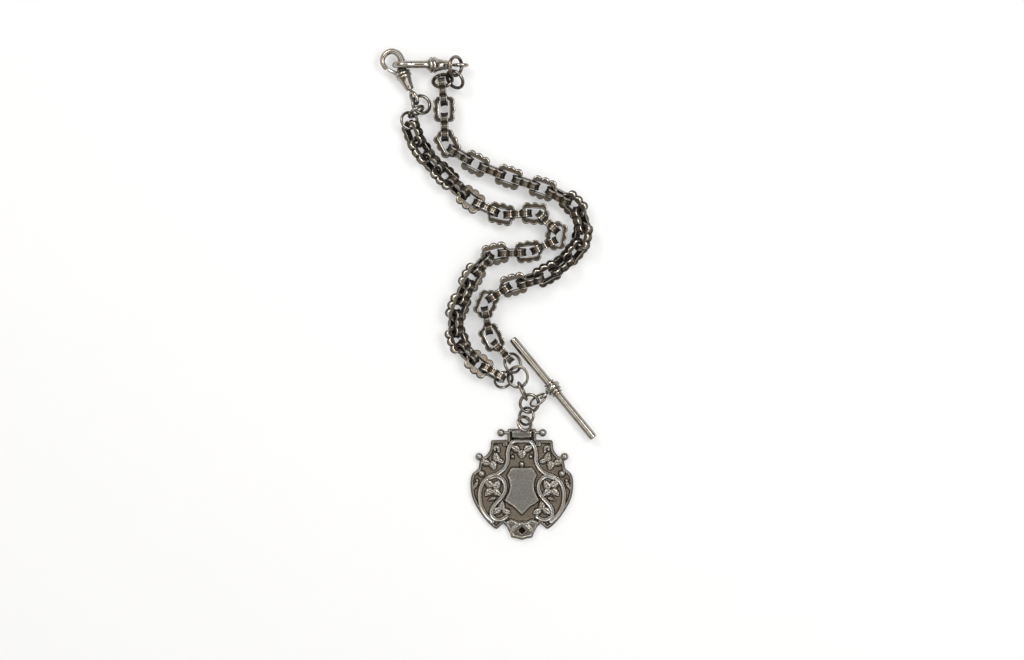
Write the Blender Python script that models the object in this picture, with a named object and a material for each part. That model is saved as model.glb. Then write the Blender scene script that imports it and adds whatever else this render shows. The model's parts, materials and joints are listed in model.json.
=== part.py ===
"""Double watch chain of scalloped links with two dog-clip swivels, a T-bar and a shield fob.

The chain lies flat and closed on itself: its two strands are joined below by rings and above by
one swivel clipped into the other. Metres, +Z up, the ground at z = 0, +Y from fob to swivels.
"""

import math
from functools import partial

import bmesh
import bpy
from mathutils import Matrix, Vector
from mathutils.geometry import tessellate_polygon

MM = 0.001  # every dimension below is in millimetres

# Scalloped link: x along the strand, y across its plane, z through its thickness
LINK_THICKNESS = 2.4
LOBE_RADIUS = 1.5
LOBES = ((3.3, 0.0), (2.5, 1.95), (0.0, 2.1), (-2.5, 1.95))  # the other four are opposite
SLOT_HALF_LENGTH = 3.15
SLOT_HALF_WIDTH = 1.8
SLOT_CORNER = 0.35
END_BAR = 3.975  # from the middle of a link to the middle of its end wall
AXIS_HEIGHT = 3.9  # of both strands above the ground

# Strands, from the swivel end to the joining ring
LEFT_LINKS = 25
RIGHT_LINKS = 24
STEP = 0.25  # between the points that a route is walked on
LEVELLING = 0.3  # how hard a link that sits too high or low is steered back
LOOK_AHEAD = 5.0  # how far along the route each link is steered
FIRST_LOOK = 8  # points along the route that the first link is turned towards
SEARCH_AHEAD = 60  # points along the route that the next link's place is looked for in
MOST_BEND = math.radians(55)
MOST_TWIST = math.radians(8)  # a link may turn this far out of square with the one before it
# Distance between middles of neighbouring links, as (link number, distance): slack or drawn out
LEFT_PITCH = ((0, 5.6), (6, 5.6), (7, 5.3), (8, 5.3), (9, 5.4), (10, 5.45), (13, 5.45), (14, 5.3),
              (15, 5.35), (16, 5.4), (18, 5.4), (19, 5.25), (26, 5.25))
RIGHT_PITCH = ((0, 5.7), (2, 5.7), (3, 5.5), (4, 5.5), (5, 5.74), (10, 5.74), (11, 5.52), (14, 5.52),
               (15, 5.7), (17, 5.7), (18, 5.51), (21, 5.51), (22, 5.7), (24, 5.7))
LEFT_ROUTE = (
    (-24.0, 51.4), (-22.4, 47.6), (-19.8, 44.2), (-15.2, 39.4), (-9.8, 34.0), (-4.7, 29.8),
    (-0.2, 27.4), (4.8, 25.8), (9.6, 25.8), (14.2, 26.2), (18.0, 25.6), (20.8, 23.5), (20.0, 20.3),
    (16.2, 17.9), (12.6, 15.4), (9.0, 14.2), (4.4, 13.6), (-0.4, 12.4), (-3.4, 9.0), (-5.2, 4.8),
    (-7.4, 1.2), (-9.4, -2.8), (-10.8, -7.2), (-10.8, -11.4), (-9.0, -15.8), (-5.8, -19.8),
    (-2.0, -23.0), (4.6, -26.8), (9.0, -29.4),
)
RIGHT_ROUTE = (
    (-14.7, 65.1), (-14.2, 60.0), (-14.4, 54.4), (-13.6, 49.4), (-9.8, 45.4), (-3.6, 41.8),
    (2.1, 39.4), (7.2, 37.6), (12.4, 35.8), (17.8, 34.0), (23.2, 31.8), (27.4, 28.4), (30.1, 23.0),
    (29.8, 17.4), (25.8, 12.2), (20.9, 8.0), (16.2, 5.6), (10.6, 4.0), (5.2, 2.6), (1.2, -0.2),
    (-0.8, -4.6), (-0.6, -9.6), (1.4, -14.0), (4.4, -18.0), (8.0, -21.8), (11.6, -25.4),
)
# Roll about the strand, as (link number, degrees)
LEFT_ROLL = ((0, 45), (3, 60), (6, 88), (13, 90), (18, 62), (21, 62), (26, 90))
RIGHT_ROLL = ((0, 90), (2, 90), (4, 100), (9, 100), (14, 140), (18, 172), (20, 180), (26, 180))
LEFT_SINGLES = (0, 3, 6, 9, 12, 15, 18, 21, 24)  # the others are in pairs
RIGHT_SINGLES = (0, 1, 4, 7, 10, 13, 16, 19, 22, 23)
BRIDGE_RADIUS = 0.5  # joins the two links of a pair

# Wire rings, from the swivels down, as (name, centre, normal, long direction, half length, half
# width, wire radius), lengths to the middle of the wire
WIRE_RINGS = (
    ("ring_left_upper", (-21.53, 61.00, 3.41), (0.40, 0.23, 0.89), (1, 0, 0), 2.9, 2.9, 0.5),
    ("ring_left_middle", (-23.22, 58.68, 3.87), (0.56, -0.78, 0.28), (1, 0, 0), 2.6, 2.6, 0.5),
    ("ring_left_lower", (-25.34, 55.83, 4.04), (0.35, 0.18, 0.92), (1, 0, 0), 2.65, 2.65, 0.5),
    ("ring_right_upper", (-10.53, 73.05, 6.00), (0.77, -0.09, 0.63), (0, 1, 0), 3.0, 3.0, 0.5),
    ("ring_right_middle", (-10.74, 68.95, 4.62), (-0.55, -0.51, 0.66), (1, 0, 0), 3.05, 3.05, 0.5),
    ("ring_right_lower", (-14.73, 68.69, 2.63), (-0.18, 0.52, 0.83), (1, 0, 0), 3.1, 2.4, 0.55),
    ("ring_right_strand", (7.66, -21.80, 3.04), (0.59, 0.20, 0.79), (1, 0, 0), 3.1, 3.1, 0.48),
    ("ring_left_strand", (4.83, -27.13, 2.48), (0.27, -0.53, 0.81), (1, 0, 0), 2.95, 2.95, 0.46),
    ("ring_drop_upper", (10.88, -30.74, 3.48), (0.89, 0.42, 0.18), (0.1, -1, 0), 2.95, 1.5, 0.44),
    ("ring_drop_middle", (13.03, -34.71, 2.74), (0.09, -0.28, 0.95), (1, 0, 0), 2.95, 2.95, 0.48),
    ("ring_drop_lower", (12.11, -38.82, 2.13), (-0.58, 0.15, 0.80), (1, 0, 0), 2.75, 2.75, 0.46),
    ("tbar_link", (15.86, -33.64, 2.75), (-0.29, 0.43, 0.85), (0.8, 0.6, 0), 2.85, 1.45, 0.4),
)
# Split ring that joins both strands and the drop
SPLIT_RING_CENTRE = (9.38, -26.25, 2.94)
SPLIT_RING_NORMAL = (-0.33, 0.01, 0.94)
SPLIT_RING_RADIUS = 3.3
SPLIT_WIRE_WIDTH = 0.9
SPLIT_WIRE_HEIGHT = 0.36
SPLIT_RISE = 0.46  # from one turn to the next
SPLIT_TURNS = 1.8

# Swivels: s runs from the collar towards the hook, t towards the gate
LEFT_SWIVEL = {
    "collar": (-27.36, 70.56, 3.9), "axis": (-0.426, 0.905, 0), "gate_side": (-0.905, -0.426, 0),
    "rear": 5.45, "neck": 0.0, "eye_distance": 8.3, "eye_roll": math.radians(55),
}
RIGHT_SWIVEL = {
    "collar": (-17.96, 73.6, 4.5), "axis": (-1, 0, 0.077), "gate_side": (0, 0, -1),
    "rear": 6.2, "neck": 3.5, "eye_distance": 9.1, "eye_roll": 0.0,
}
COLLAR_RADIUS = 2.6
BORE_END = -1.9
BORE_RADIUS = 0.95
MOUTH_RADIUS = 0.7
MOUTH_DEPTH = 0.7
BARREL_END_RADIUS = 1.3
# Outside of the bell and the double collar, as (s, radius)
BARREL = (
    (-1.35, 2.15), (-1.0, 2.5), (-0.5, COLLAR_RADIUS), (-0.12, 2.3), (0.3, COLLAR_RADIUS), (0.8, 2.45),
    (1.15, 1.7),
)
# Middle of the hook's wire and its radius, as (s, t, radius), from the neck to the tip
HOOK_PATH = (
    (2.5, -1.0, 1.25), (4.4, -1.5, 1.15), (6.2, -1.5, 1.05), (7.6, -0.75, 1.0), (8.4, 0.45, 0.95),
    (8.4, 2.05, 0.9), (7.65, 3.5, 0.85), (6.4, 4.3, 0.8), (5.05, 4.35, 0.8), (4.1, 4.1, 0.75),
)
SLOT_LOW = (-0.6, 0.0, -0.8)
SLOT_HIGH = (3.4, 3.6, 0.8)
GATE_PIVOT = (0.6, 1.5)
GATE_NOSE = (3.0, 3.3)
GATE_ROOT_RADIUS = 0.75
GATE_WIDTH = 1.1
GATE_THICKNESS = 1.0
PIN_RADIUS = 0.35
PIN_HOLE = 0.5
PIN_HALF_LENGTH = 2.0
SPRING_LOW = (-0.4, 0.2, -0.5)
SPRING_HIGH = (2.6, 0.42, 0.5)
EYE_HALF_LENGTH = 2.0
EYE_HALF_WIDTH = 1.45
EYE_WIRE = 0.55
STEM_RADIUS = 0.42
STEM_HEAD = 0.7
STEM_GAP = 0.3
STEM_HEAD_LENGTH = 0.6

# T-bar, and the collar that turns on it between two shoulders
TBAR_CENTRE = (20.64, -29.86, 2.75)
TBAR_AXIS = (0.634, -0.773, 0)
TBAR_END = ((0.0, 0.35), (0.2, 0.8), (0.65, 1.15), (1.35, 1.3))  # from each tip inwards
TBAR_LENGTH = 41.2
TBAR_SHOULDER = ((2.3, 1.3), (2.25, 1.85), (1.85, 1.85), (1.8, 1.3))  # from the middle outwards
TBAR_COLLAR = (
    (-1.5, 1.62), (-1.5, 2.3), (-0.9, 2.65), (-0.3, 2.3), (0.3, 2.3), (0.9, 2.65), (1.5, 2.3), (1.5, 1.62),
)
TBAR_EYE_DISTANCE = 3.55
TBAR_EYE_RADIUS = 1.35
TBAR_EYE_WIRE = 0.45

# Fob: right halves of its outlines about its middle, from top to bottom
FOB_MIDDLE = (10.66, -60.0)
FOB_THICKNESS = 2.0
FOB_OUTLINE = (
    (0, 17.2), (4.32, 17.1), (4.64, 16.4), (6.4, 16.4), (6.4, 15.3), (4.64, 15.2), (4.64, 13.6),
    (9.6, 13.44), (9.92, 12.96), (10.24, 10.4), (11.52, 8.48), (12.8, 8.0), (13.76, 6.24),
    (13.76, 4.64), (14.72, 3.68), (16.0, 2.4), (16.48, -0.16), (16.32, -3.04), (15.68, -5.6),
    (14.4, -8.16), (12.48, -11.04), (10.24, -13.6), (8.64, -14.88), (8.0, -15.04), (5.92, -13.28),
    (4.8, -14.56), (3.84, -16.48), (3.36, -17.76), (1.6, -18.08), (0, -18.56),
)
FOB_SHIELD = (
    (0, 5.28), (3.52, 5.28), (3.3, 1.5), (3.52, -1.76), (5.76, -5.6), (4.6, -8.2), (2.2, -9.9), (0, -10.72),
)
FOB_SHIELD_TOP = 2.7
FOB_CREST = ((0, 16.8), (3.4, 16.8), (3.4, 14.1), (0, 13.9))
FOB_CREST_TOP = 3.2
FOB_BALLS = ((6.72, 15.84), (13.7, 8.16))
FOB_BALL_BASE = 0.3
FOB_BALL = ((0, 0.9), (0.5, 1.28), (1.5, 1.28), (2.2, 0.8))  # (height above its base, radius)
FOB_EYE_CENTRE = (11.8, -41.6, 2.35)
FOB_EYE_RADIUS = 1.7
FOB_EYE_WIRE = 0.55

GROUND = -0.09
MIDDLE = (-0.29, 0.173, GROUND)  # of the whole at the ground, which becomes the origin

LINK_SILVER = ((0.50, 0.48, 0.44), 0.45)
BRIGHT_SILVER = ((0.72, 0.71, 0.68), 0.28)
FOB_SILVER = ((0.38, 0.36, 0.33), 0.5)
STEEL = ((0.45, 0.45, 0.47), 0.35)
SHARP_ANGLE = math.radians(65)  # flatter edges than this are shaded round


def material(name, colour, roughness):
    made = bpy.data.materials.new(name)
    made.use_nodes = True
    shader = made.node_tree.nodes["Principled BSDF"]
    shader.inputs["Base Color"].default_value = (*colour, 1)
    shader.inputs["Metallic"].default_value = 1
    shader.inputs["Roughness"].default_value = roughness
    return made


def add_object(name, build, finish, pivot):
    """One object from a function that fills a bmesh; its origin is its pivot."""
    shape = bmesh.new()
    build(shape)
    bmesh.ops.recalc_face_normals(shape, faces=shape.faces)
    shape.transform(Matrix.Scale(MM, 4) @ Matrix.Translation(-Vector(pivot)))
    mesh = bpy.data.meshes.new(name)
    shape.to_mesh(mesh)
    shape.free()
    mesh.materials.append(material(name, *finish))
    mesh.shade_smooth()
    mesh.set_sharp_from_angle(angle=SHARP_ANGLE)
    made = bpy.data.objects.new(name, mesh)
    made.location = (Vector(pivot) - Vector(MIDDLE)) * MM
    bpy.context.scene.collection.objects.link(made)
    return made


def boolean(target, operation, builders):
    """Joins helpers to, or cuts them from, a finished object."""
    for number, build in enumerate(builders):
        helper = add_object(f"{target.name}_{operation}_{number}", build, STEEL, (0, 0, 0))
        helper.hide_render = True
        helper.display_type = "WIRE"
        modifier = target.modifiers.new(f"{operation}_{number}", "BOOLEAN")
        modifier.operation = operation
        modifier.solver = "EXACT"
        modifier.object = helper


# Links

def lobe_outline():
    """The scalloped outline, three points to a lobe: where it leaves its neighbour, then two on its arc."""
    centres = [Vector(c) for c in LOBES] + [-Vector(c) for c in LOBES]
    valleys = []
    for here, there in zip(centres, centres[1:] + centres[:1]):
        middle, half = (here + there) / 2, (there - here).length / 2
        across = Vector(((there - here).y, -(there - here).x)).normalized()
        valleys.append(middle + across * math.sqrt(LOBE_RADIUS**2 - half**2))
    points = []
    for k, centre in enumerate(centres):
        start, end = valleys[k - 1] - centre, valleys[k] - centre
        first = math.atan2(start.y, start.x)
        sweep = (math.atan2(end.y, end.x) - first) % math.tau
        for step in range(3):
            angle = first + sweep * step / 3
            points.append(centre + LOBE_RADIUS * Vector((math.cos(angle), math.sin(angle))))
    return points


def slot_outline():
    long, wide, cut = SLOT_HALF_LENGTH, SLOT_HALF_WIDTH, SLOT_CORNER
    half = [(long, -wide + cut), (long, wide - cut), (long - cut, wide), (-long + cut, wide)]
    return [Vector(p) for p in half] + [-Vector(p) for p in half]


def extrude(shape, place, outlines, low, high):
    """A plate from an outline and its holes, between two heights of the frame `place`."""
    flat = [p.to_3d() for outline in outlines for p in outline]
    sheets = [[shape.verts.new(place @ (p + Vector((0, 0, z)))) for p in flat] for z in (low, high)]
    rings = [[p.to_3d() for p in outline] for outline in outlines]
    for face in tessellate_polygon(rings):
        for sheet in sheets:
            shape.faces.new([sheet[i] for i in face])
    first = 0
    for outline in outlines:
        for k in range(len(outline)):
            a, b = first + k, first + (k + 1) % len(outline)
            shape.faces.new([sheets[0][a], sheets[0][b], sheets[1][b], sheets[1][a]])
        first += len(outline)


def link_solid(shape, place):
    half = LINK_THICKNESS / 2
    extrude(shape, place, [lobe_outline(), slot_outline()], -half, half)


# Routes

def limited(value, most):
    return max(-most, min(most, value))


def walk_route(points):
    """Evenly spaced points along a smooth curve through the route."""
    ends = [points[0], *points, points[-1]]
    knots = [Vector(p) for p in ends]
    curve = []
    for k in range(1, len(knots) - 2):
        a, b, c, d = knots[k - 1 : k + 3]
        steps = max(2, round((c - b).length / STEP))
        for step in range(steps):
            t = step / steps
            curve.append(
                0.5 * (2 * b + (c - a) * t + (2 * a - 5 * b + 4 * c - d) * t**2
                       + (3 * b - a - 3 * c + d) * t**3)
            )
    return curve + [knots[-1]]


def along_table(table, number):
    for (low, first), (high, last) in zip(table, table[1:]):
        if number <= high:
            return first + (last - first) * (number - low) / (high - low)
    return table[-1][1]


def frame_along(position, heading, roll):
    """A frame with x along the heading and y rolled about it from the horizontal."""
    x = heading.normalized()
    side = Vector((0, 0, 1)).cross(x).normalized()
    y = side * math.cos(roll) + x.cross(side) * math.sin(roll)
    z = x.cross(y)
    turn = Matrix((x, y, z)).transposed().to_4x4()
    return Matrix.Translation(position) @ turn


def strand_frames(route, rolls, pitches, links):
    """The frame of each link, which pivots where its end wall lies in its neighbour's slot."""
    curve = walk_route(route)
    start, ahead = curve[0].to_3d(), curve[FIRST_LOOK].to_3d()
    start.z = ahead.z = AXIS_HEIGHT
    frames = [frame_along(start, ahead - start, math.radians(along_table(rolls, 0)))]
    nearest = 0
    for number in range(1, links):
        pitch = along_table(pitches, number)
        reach, between = pitch - END_BAR, 2 * END_BAR - pitch
        here = frames[-1] @ Matrix.Translation((reach, 0, 0))
        eye = here.translation
        window = range(nearest, min(nearest + SEARCH_AHEAD, len(curve)))
        nearest = min(window, key=lambda k: (curve[k] - eye.xy).length)
        aim = curve[min(nearest + round((LOOK_AHEAD + between) / STEP), len(curve) - 1)].to_3d()
        aim.z = AXIS_HEIGHT + LEVELLING * (AXIS_HEIGHT - eye.z)
        local = here.to_3x3().transposed() @ (aim - eye).normalized()
        bend = local.angle(Vector((1, 0, 0)))
        if bend > MOST_BEND:
            local = Vector((1, 0, 0)).slerp(local, MOST_BEND / bend)
        quarter = math.pi / 2 if number % 2 else -math.pi / 2
        wish = math.radians(along_table(rolls, number)) + (math.pi / 2 if number % 2 else 0)
        twist = quarter
        for _ in range(3):
            rise = math.asin(limited(local.z / math.sin(twist), 1))
            turn = math.atan2(local.y, local.x)
            turn -= math.atan2(math.sin(rise) * math.cos(twist), math.cos(rise))
            there = (
                here @ Matrix.Rotation(turn, 4, "Z")
                @ Matrix.Translation((between, 0, 0)) @ Matrix.Rotation(twist, 4, "X")
                @ Matrix.Rotation(rise, 4, "Z")
            )
            level = frame_along(there.translation, there.col[0].xyz, wish)
            off = level.inverted() @ there
            twist = quarter + limited(twist - math.atan2(off[2][1], off[1][1]) - quarter, MOST_TWIST)
        frames.append(there @ Matrix.Translation((reach, 0, 0)))
    return frames


def contact(above, below):
    """Where two neighbouring links touch: between the middles of their end walls."""
    return (above @ Vector((END_BAR, 0, 0)) + below @ Vector((-END_BAR, 0, 0))) / 2


# Bent and turned pieces

def skin(shape, rings, closed=False):
    """A tube through rings of points, open rings capped at both ends."""
    made = [[shape.verts.new(p) for p in ring] for ring in rings]
    following = made[1:] + made[:1] if closed else made[1:]
    for here, there in zip(made, following):
        for k in range(len(here)):
            after = (k + 1) % len(here)
            shape.faces.new([here[k], here[after], there[after], there[k]])
    if not closed:
        shape.faces.new(made[0][::-1])
        shape.faces.new(made[-1])


def circle(centre, across, up, radius, sides):
    angles = [math.tau * k / sides for k in range(sides)]
    return [centre + radius * (math.cos(a) * across + math.sin(a) * up) for a in angles]


def ring_solid(shape, centre, normal, along, length, width, wire, around=20, sides=6):
    """A closed loop of round wire: half its length runs along `along`, half its width across it."""
    normal = Vector(normal).normalized()
    u = Vector(along) - normal * normal.dot(Vector(along))
    u.normalize()
    v = normal.cross(u)
    rings = []
    for k in range(around):
        a = math.tau * k / around
        point = Vector(centre) + u * length * math.cos(a) + v * width * math.sin(a)
        forward = (v * width * math.cos(a) - u * length * math.sin(a)).normalized()
        rings.append(circle(point, forward.cross(normal), normal, wire, sides))
    skin(shape, rings, closed=True)


def turned(shape, origin, axis, profile, sides=12, closed=False):
    """A body of revolution from (distance along the axis, radius) pairs."""
    axis = Vector(axis).normalized()
    across = axis.orthogonal().normalized()
    up = axis.cross(across)
    rings = [circle(Vector(origin) + axis * d, across, up, r, sides) for d, r in profile]
    skin(shape, rings, closed)


def coil_solid(shape, centre, normal, radius, turns, around=18):
    """Flat wire wound on itself, its turns just clear of each other."""
    normal = Vector(normal).normalized()
    u = normal.orthogonal().normalized()
    v = normal.cross(u)
    corners = ((-1, -1), (1, -1), (1, 1), (-1, 1))
    rings = []
    for k in range(round(turns * around) + 1):
        a = math.tau * k / around
        out = u * math.cos(a) + v * math.sin(a)
        point = Vector(centre) + out * radius + normal * SPLIT_RISE * (k / around - turns / 2)
        wide, high = out * SPLIT_WIRE_WIDTH / 2, normal * SPLIT_WIRE_HEIGHT / 2
        rings.append([point + wide * i + high * j for i, j in corners])
    skin(shape, rings)


def rings():
    for name, centre, normal, along, length, width, wire in WIRE_RINGS:
        solid = partial(
            ring_solid, centre=centre, normal=normal, along=along, length=length, width=width, wire=wire
        )
        add_object(name, solid, BRIGHT_SILVER, centre)
    solid = partial(
        coil_solid, centre=SPLIT_RING_CENTRE, normal=SPLIT_RING_NORMAL, radius=SPLIT_RING_RADIUS,
        turns=SPLIT_TURNS,
    )
    add_object("ring_joining", solid, BRIGHT_SILVER, SPLIT_RING_CENTRE)


# Strands

def strand(side, frames, singles):
    """The links of one strand; a pair that is one object is joined where its links touch."""
    first = 0
    while first < len(frames):
        alone = first in singles or first + 1 == len(frames)
        last = first if alone else first + 1
        name = f"link_{side}_{first + 1:02d}" if alone else f"links_{side}_{first + 1:02d}_{last + 1:02d}"
        if last + 1 < len(frames):
            pivot = contact(frames[last], frames[last + 1])
        else:
            pivot = frames[last] @ Vector((END_BAR, 0, 0))
        made = add_object(name, partial(link_solid, place=frames[first]), LINK_SILVER, pivot)
        if not alone:
            above = frames[first] @ Vector((END_BAR, 0, 0))
            below = frames[last] @ Vector((-END_BAR, 0, 0))
            profile = ((0, BRIDGE_RADIUS), ((below - above).length, BRIDGE_RADIUS))
            bridge = partial(turned, origin=above, axis=below - above, profile=profile, sides=6)
            boolean(made, "UNION", [bridge, partial(link_solid, place=frames[last])])
        first = last + 1


# Swivels

def swivel_frame(collar, axis, gate_side):
    """x along the barrel towards the hook, y towards the gate."""
    x = Vector(axis).normalized()
    y = Vector(gate_side) - x * x.dot(Vector(gate_side))
    y.normalize()
    turn = Matrix((x, y, x.cross(y))).transposed().to_4x4()
    return Matrix.Translation(collar) @ turn


def hook_solid(shape, frame, rear, neck):
    """The barrel round its bore, the double collar, and the hook bent from the same metal."""
    profile = [
        (BORE_END, BORE_RADIUS), (MOUTH_DEPTH - rear, BORE_RADIUS), (MOUTH_DEPTH - rear, MOUTH_RADIUS),
        (-rear, MOUTH_RADIUS), (-rear, BARREL_END_RADIUS), *BARREL,
    ]
    stations = [(Vector((s, 0, 0)), Vector((1, 0, 0)), radius) for s, radius in profile]
    path = [(Vector((s + neck, t, 0)), radius) for s, t, radius in HOOK_PATH]
    if neck:
        path.insert(0, (Vector((HOOK_PATH[0][0], HOOK_PATH[0][1], 0)), HOOK_PATH[0][2]))
    for number, (centre, radius) in enumerate(path):
        before, after = path[max(number - 1, 0)][0], path[min(number + 1, len(path) - 1)][0]
        stations.append((centre, (after - before).normalized(), radius))
    rings = []
    for centre, forward, radius in stations:
        across = Vector((-forward.y, forward.x, 0))
        rings.append([frame @ p for p in circle(centre, across, Vector((0, 0, 1)), radius, 12)])
    skin(shape, rings)


def box_solid(shape, frame, low, high):
    corners = ((low[0], low[1]), (high[0], low[1]), (high[0], high[1]), (low[0], high[1]))
    extrude(shape, frame, [[Vector(c) for c in corners]], low[2], high[2])


def gate_outline(nose):
    """A lever from its round root on the pin to the nose that meets the tip of the hook."""
    pivot = Vector(GATE_PIVOT)
    along = (nose - pivot).normalized()
    across = Vector((-along.y, along.x))
    first = math.atan2(across.y, across.x)
    arc = [first + math.pi * k / 6 for k in range(7)]
    root = [pivot + GATE_ROOT_RADIUS * Vector((math.cos(a), math.sin(a))) for a in arc]
    half = GATE_WIDTH / 2
    return root + [nose - across * half, nose + along * half / 2, nose + across * half]


def swivel(side, collar, axis, gate_side, rear, neck, eye_distance, eye_roll):
    frame = swivel_frame(collar, axis, gate_side)
    turn = frame.to_3x3()
    across = turn @ Vector((0, 0, 1))
    pivot = frame @ Vector((*GATE_PIVOT, 0))
    hook = partial(hook_solid, frame=frame, rear=rear, neck=neck)
    body = add_object(f"swivel_{side}_hook", hook, BRIGHT_SILVER, collar)
    slot = partial(box_solid, frame=frame, low=SLOT_LOW, high=SLOT_HIGH)
    drilled = ((-COLLAR_RADIUS * 2, PIN_HOLE), (COLLAR_RADIUS * 2, PIN_HOLE))
    drill = partial(turned, origin=pivot, axis=across, profile=drilled, sides=8)
    boolean(body, "DIFFERENCE", [slot, drill])

    half = GATE_THICKNESS / 2
    angles = [math.tau * k / 8 for k in range(8)]
    hole = [Vector(GATE_PIVOT) + PIN_HOLE * Vector((math.cos(a), math.sin(a))) for a in angles]
    outline = gate_outline(Vector((GATE_NOSE[0] + neck, GATE_NOSE[1])))
    gate = partial(extrude, place=frame, outlines=[outline, hole], low=-half, high=half)
    add_object(f"swivel_{side}_gate", gate, BRIGHT_SILVER, pivot)
    ends = ((-PIN_HALF_LENGTH, PIN_RADIUS), (PIN_HALF_LENGTH, PIN_RADIUS))
    pin = partial(turned, origin=pivot, axis=across, profile=ends, sides=8)
    add_object(f"swivel_{side}_pin", pin, STEEL, pivot)
    spring = partial(box_solid, frame=frame, low=SPRING_LOW, high=SPRING_HIGH)
    add_object(f"swivel_{side}_spring", spring, STEEL, pivot)

    head = MOUTH_DEPTH + STEM_GAP - rear
    stem = (
        (EYE_HALF_LENGTH - eye_distance, STEM_RADIUS), (head, STEM_RADIUS), (head, STEM_HEAD),
        (head + STEM_HEAD_LENGTH, STEM_HEAD),
    )
    loop = partial(
        ring_solid, centre=frame @ Vector((-eye_distance, 0, 0)),
        normal=turn @ Vector((0, math.sin(eye_roll), math.cos(eye_roll))), along=axis,
        length=EYE_HALF_LENGTH, width=EYE_HALF_WIDTH, wire=EYE_WIRE, around=18,
    )
    eye = add_object(f"swivel_{side}_eye", loop, BRIGHT_SILVER, collar)
    boolean(eye, "UNION", [partial(turned, origin=collar, axis=axis, profile=stem, sides=10)])


# T-bar

def toggle():
    centre, axis = Vector(TBAR_CENTRE), Vector(TBAR_AXIS).normalized()
    half = TBAR_LENGTH / 2
    profile = [(d - half, radius) for d, radius in TBAR_END]
    profile += [(-d, radius) for d, radius in TBAR_SHOULDER]
    profile += [(-d, radius) for d, radius in reversed(profile)]
    bar = partial(turned, origin=centre, axis=axis, profile=profile)
    add_object("tbar", bar, BRIGHT_SILVER, centre)
    ring = partial(turned, origin=centre, axis=axis, profile=TBAR_COLLAR, sides=18, closed=True)
    collar = add_object("tbar_collar", ring, BRIGHT_SILVER, centre)
    side = axis.cross(Vector((0, 0, 1))).normalized()
    eye = partial(
        ring_solid, centre=centre + side * TBAR_EYE_DISTANCE, normal=axis, along=(0, 0, 1),
        length=TBAR_EYE_RADIUS, width=TBAR_EYE_RADIUS, wire=TBAR_EYE_WIRE, around=16,
    )
    boolean(collar, "UNION", [eye])


# Fob

def mirrored(half):
    """A symmetrical outline from its right half."""
    return [Vector(p) for p in half] + [Vector((-x, y)) for x, y in reversed(half) if x > 0]


def fob():
    place = Matrix.Translation((*FOB_MIDDLE, 0))
    base = partial(extrude, place=place, outlines=[mirrored(FOB_OUTLINE)], low=GROUND, high=FOB_THICKNESS)
    plate = add_object("fob", base, FOB_SILVER, FOB_EYE_CENTRE)
    raised = [
        partial(extrude, place=place, outlines=[mirrored(outline)], low=FOB_THICKNESS / 2, high=top)
        for outline, top in ((FOB_SHIELD, FOB_SHIELD_TOP), (FOB_CREST, FOB_CREST_TOP))
    ]
    balls = [
        partial(turned, origin=(FOB_MIDDLE[0] + side * x, FOB_MIDDLE[1] + y, FOB_BALL_BASE),
                axis=(0, 0, 1), profile=FOB_BALL, sides=10)
        for x, y in FOB_BALLS for side in (-1, 1)
    ]
    eye = partial(
        ring_solid, centre=FOB_EYE_CENTRE, normal=(1, 0, 0), along=(0, 0, 1), length=FOB_EYE_RADIUS,
        width=FOB_EYE_RADIUS, wire=FOB_EYE_WIRE, around=16,
    )
    boolean(plate, "UNION", [*raised, *balls, eye])


def main():
    for old in list(bpy.data.objects):
        bpy.data.objects.remove(old)
    strand("left", strand_frames(LEFT_ROUTE, LEFT_ROLL, LEFT_PITCH, LEFT_LINKS), LEFT_SINGLES)
    strand("right", strand_frames(RIGHT_ROUTE, RIGHT_ROLL, RIGHT_PITCH, RIGHT_LINKS), RIGHT_SINGLES)
    rings()
    swivel("left", **LEFT_SWIVEL)
    swivel("right", **RIGHT_SWIVEL)
    toggle()
    fob()


main()
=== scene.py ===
"""Looks of the double watch chain: worn silver links, rings, swivels, T-bar and embossed fob.

Shapes are worked out in the CAD part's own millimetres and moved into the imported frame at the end.
"""

import json
import math
from functools import partial

import bmesh
import bpy
import numpy as np
from mathutils import Matrix, Vector, noise


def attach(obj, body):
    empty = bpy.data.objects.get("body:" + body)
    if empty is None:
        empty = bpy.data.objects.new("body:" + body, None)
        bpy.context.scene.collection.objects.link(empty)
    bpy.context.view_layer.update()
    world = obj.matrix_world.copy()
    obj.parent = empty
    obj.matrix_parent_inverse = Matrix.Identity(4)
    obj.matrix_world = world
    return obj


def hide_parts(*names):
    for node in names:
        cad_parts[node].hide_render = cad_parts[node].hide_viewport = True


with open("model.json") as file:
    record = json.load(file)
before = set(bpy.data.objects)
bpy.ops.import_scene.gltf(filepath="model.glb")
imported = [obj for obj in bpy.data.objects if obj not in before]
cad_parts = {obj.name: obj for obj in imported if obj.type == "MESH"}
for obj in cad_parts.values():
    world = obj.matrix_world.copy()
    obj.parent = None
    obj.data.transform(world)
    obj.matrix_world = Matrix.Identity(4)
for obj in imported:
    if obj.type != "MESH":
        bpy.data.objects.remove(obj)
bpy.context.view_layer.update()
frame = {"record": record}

MM = 0.001
MIDDLE = Vector((-0.29, 0.173, -0.09))  # what the CAD part calls its middle, at the ground
TO_FRAME = Matrix.Scale(MM, 4) @ Matrix.Translation(-MIDDLE)
BODY_OF = {n: b for b, nodes in frame["record"]["behaviour"]["bodies"].items() for n in nodes}

# Scalloped link: x along the strand, y across its plane, z through its thickness
LOBE_RADIUS = 1.5
LOBES = ((3.3, 0.0), (2.5, 1.95), (0.0, 2.1), (-2.5, 1.95))  # the other four are opposite
LOBE_POINTS = 9
SLOT_HALF_LENGTH = 3.1
SLOT_HALF_WIDTH = 1.7
SLOT_CORNER = 0.7
END_BAR = 3.975
AXIS_HEIGHT = 3.9
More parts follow.
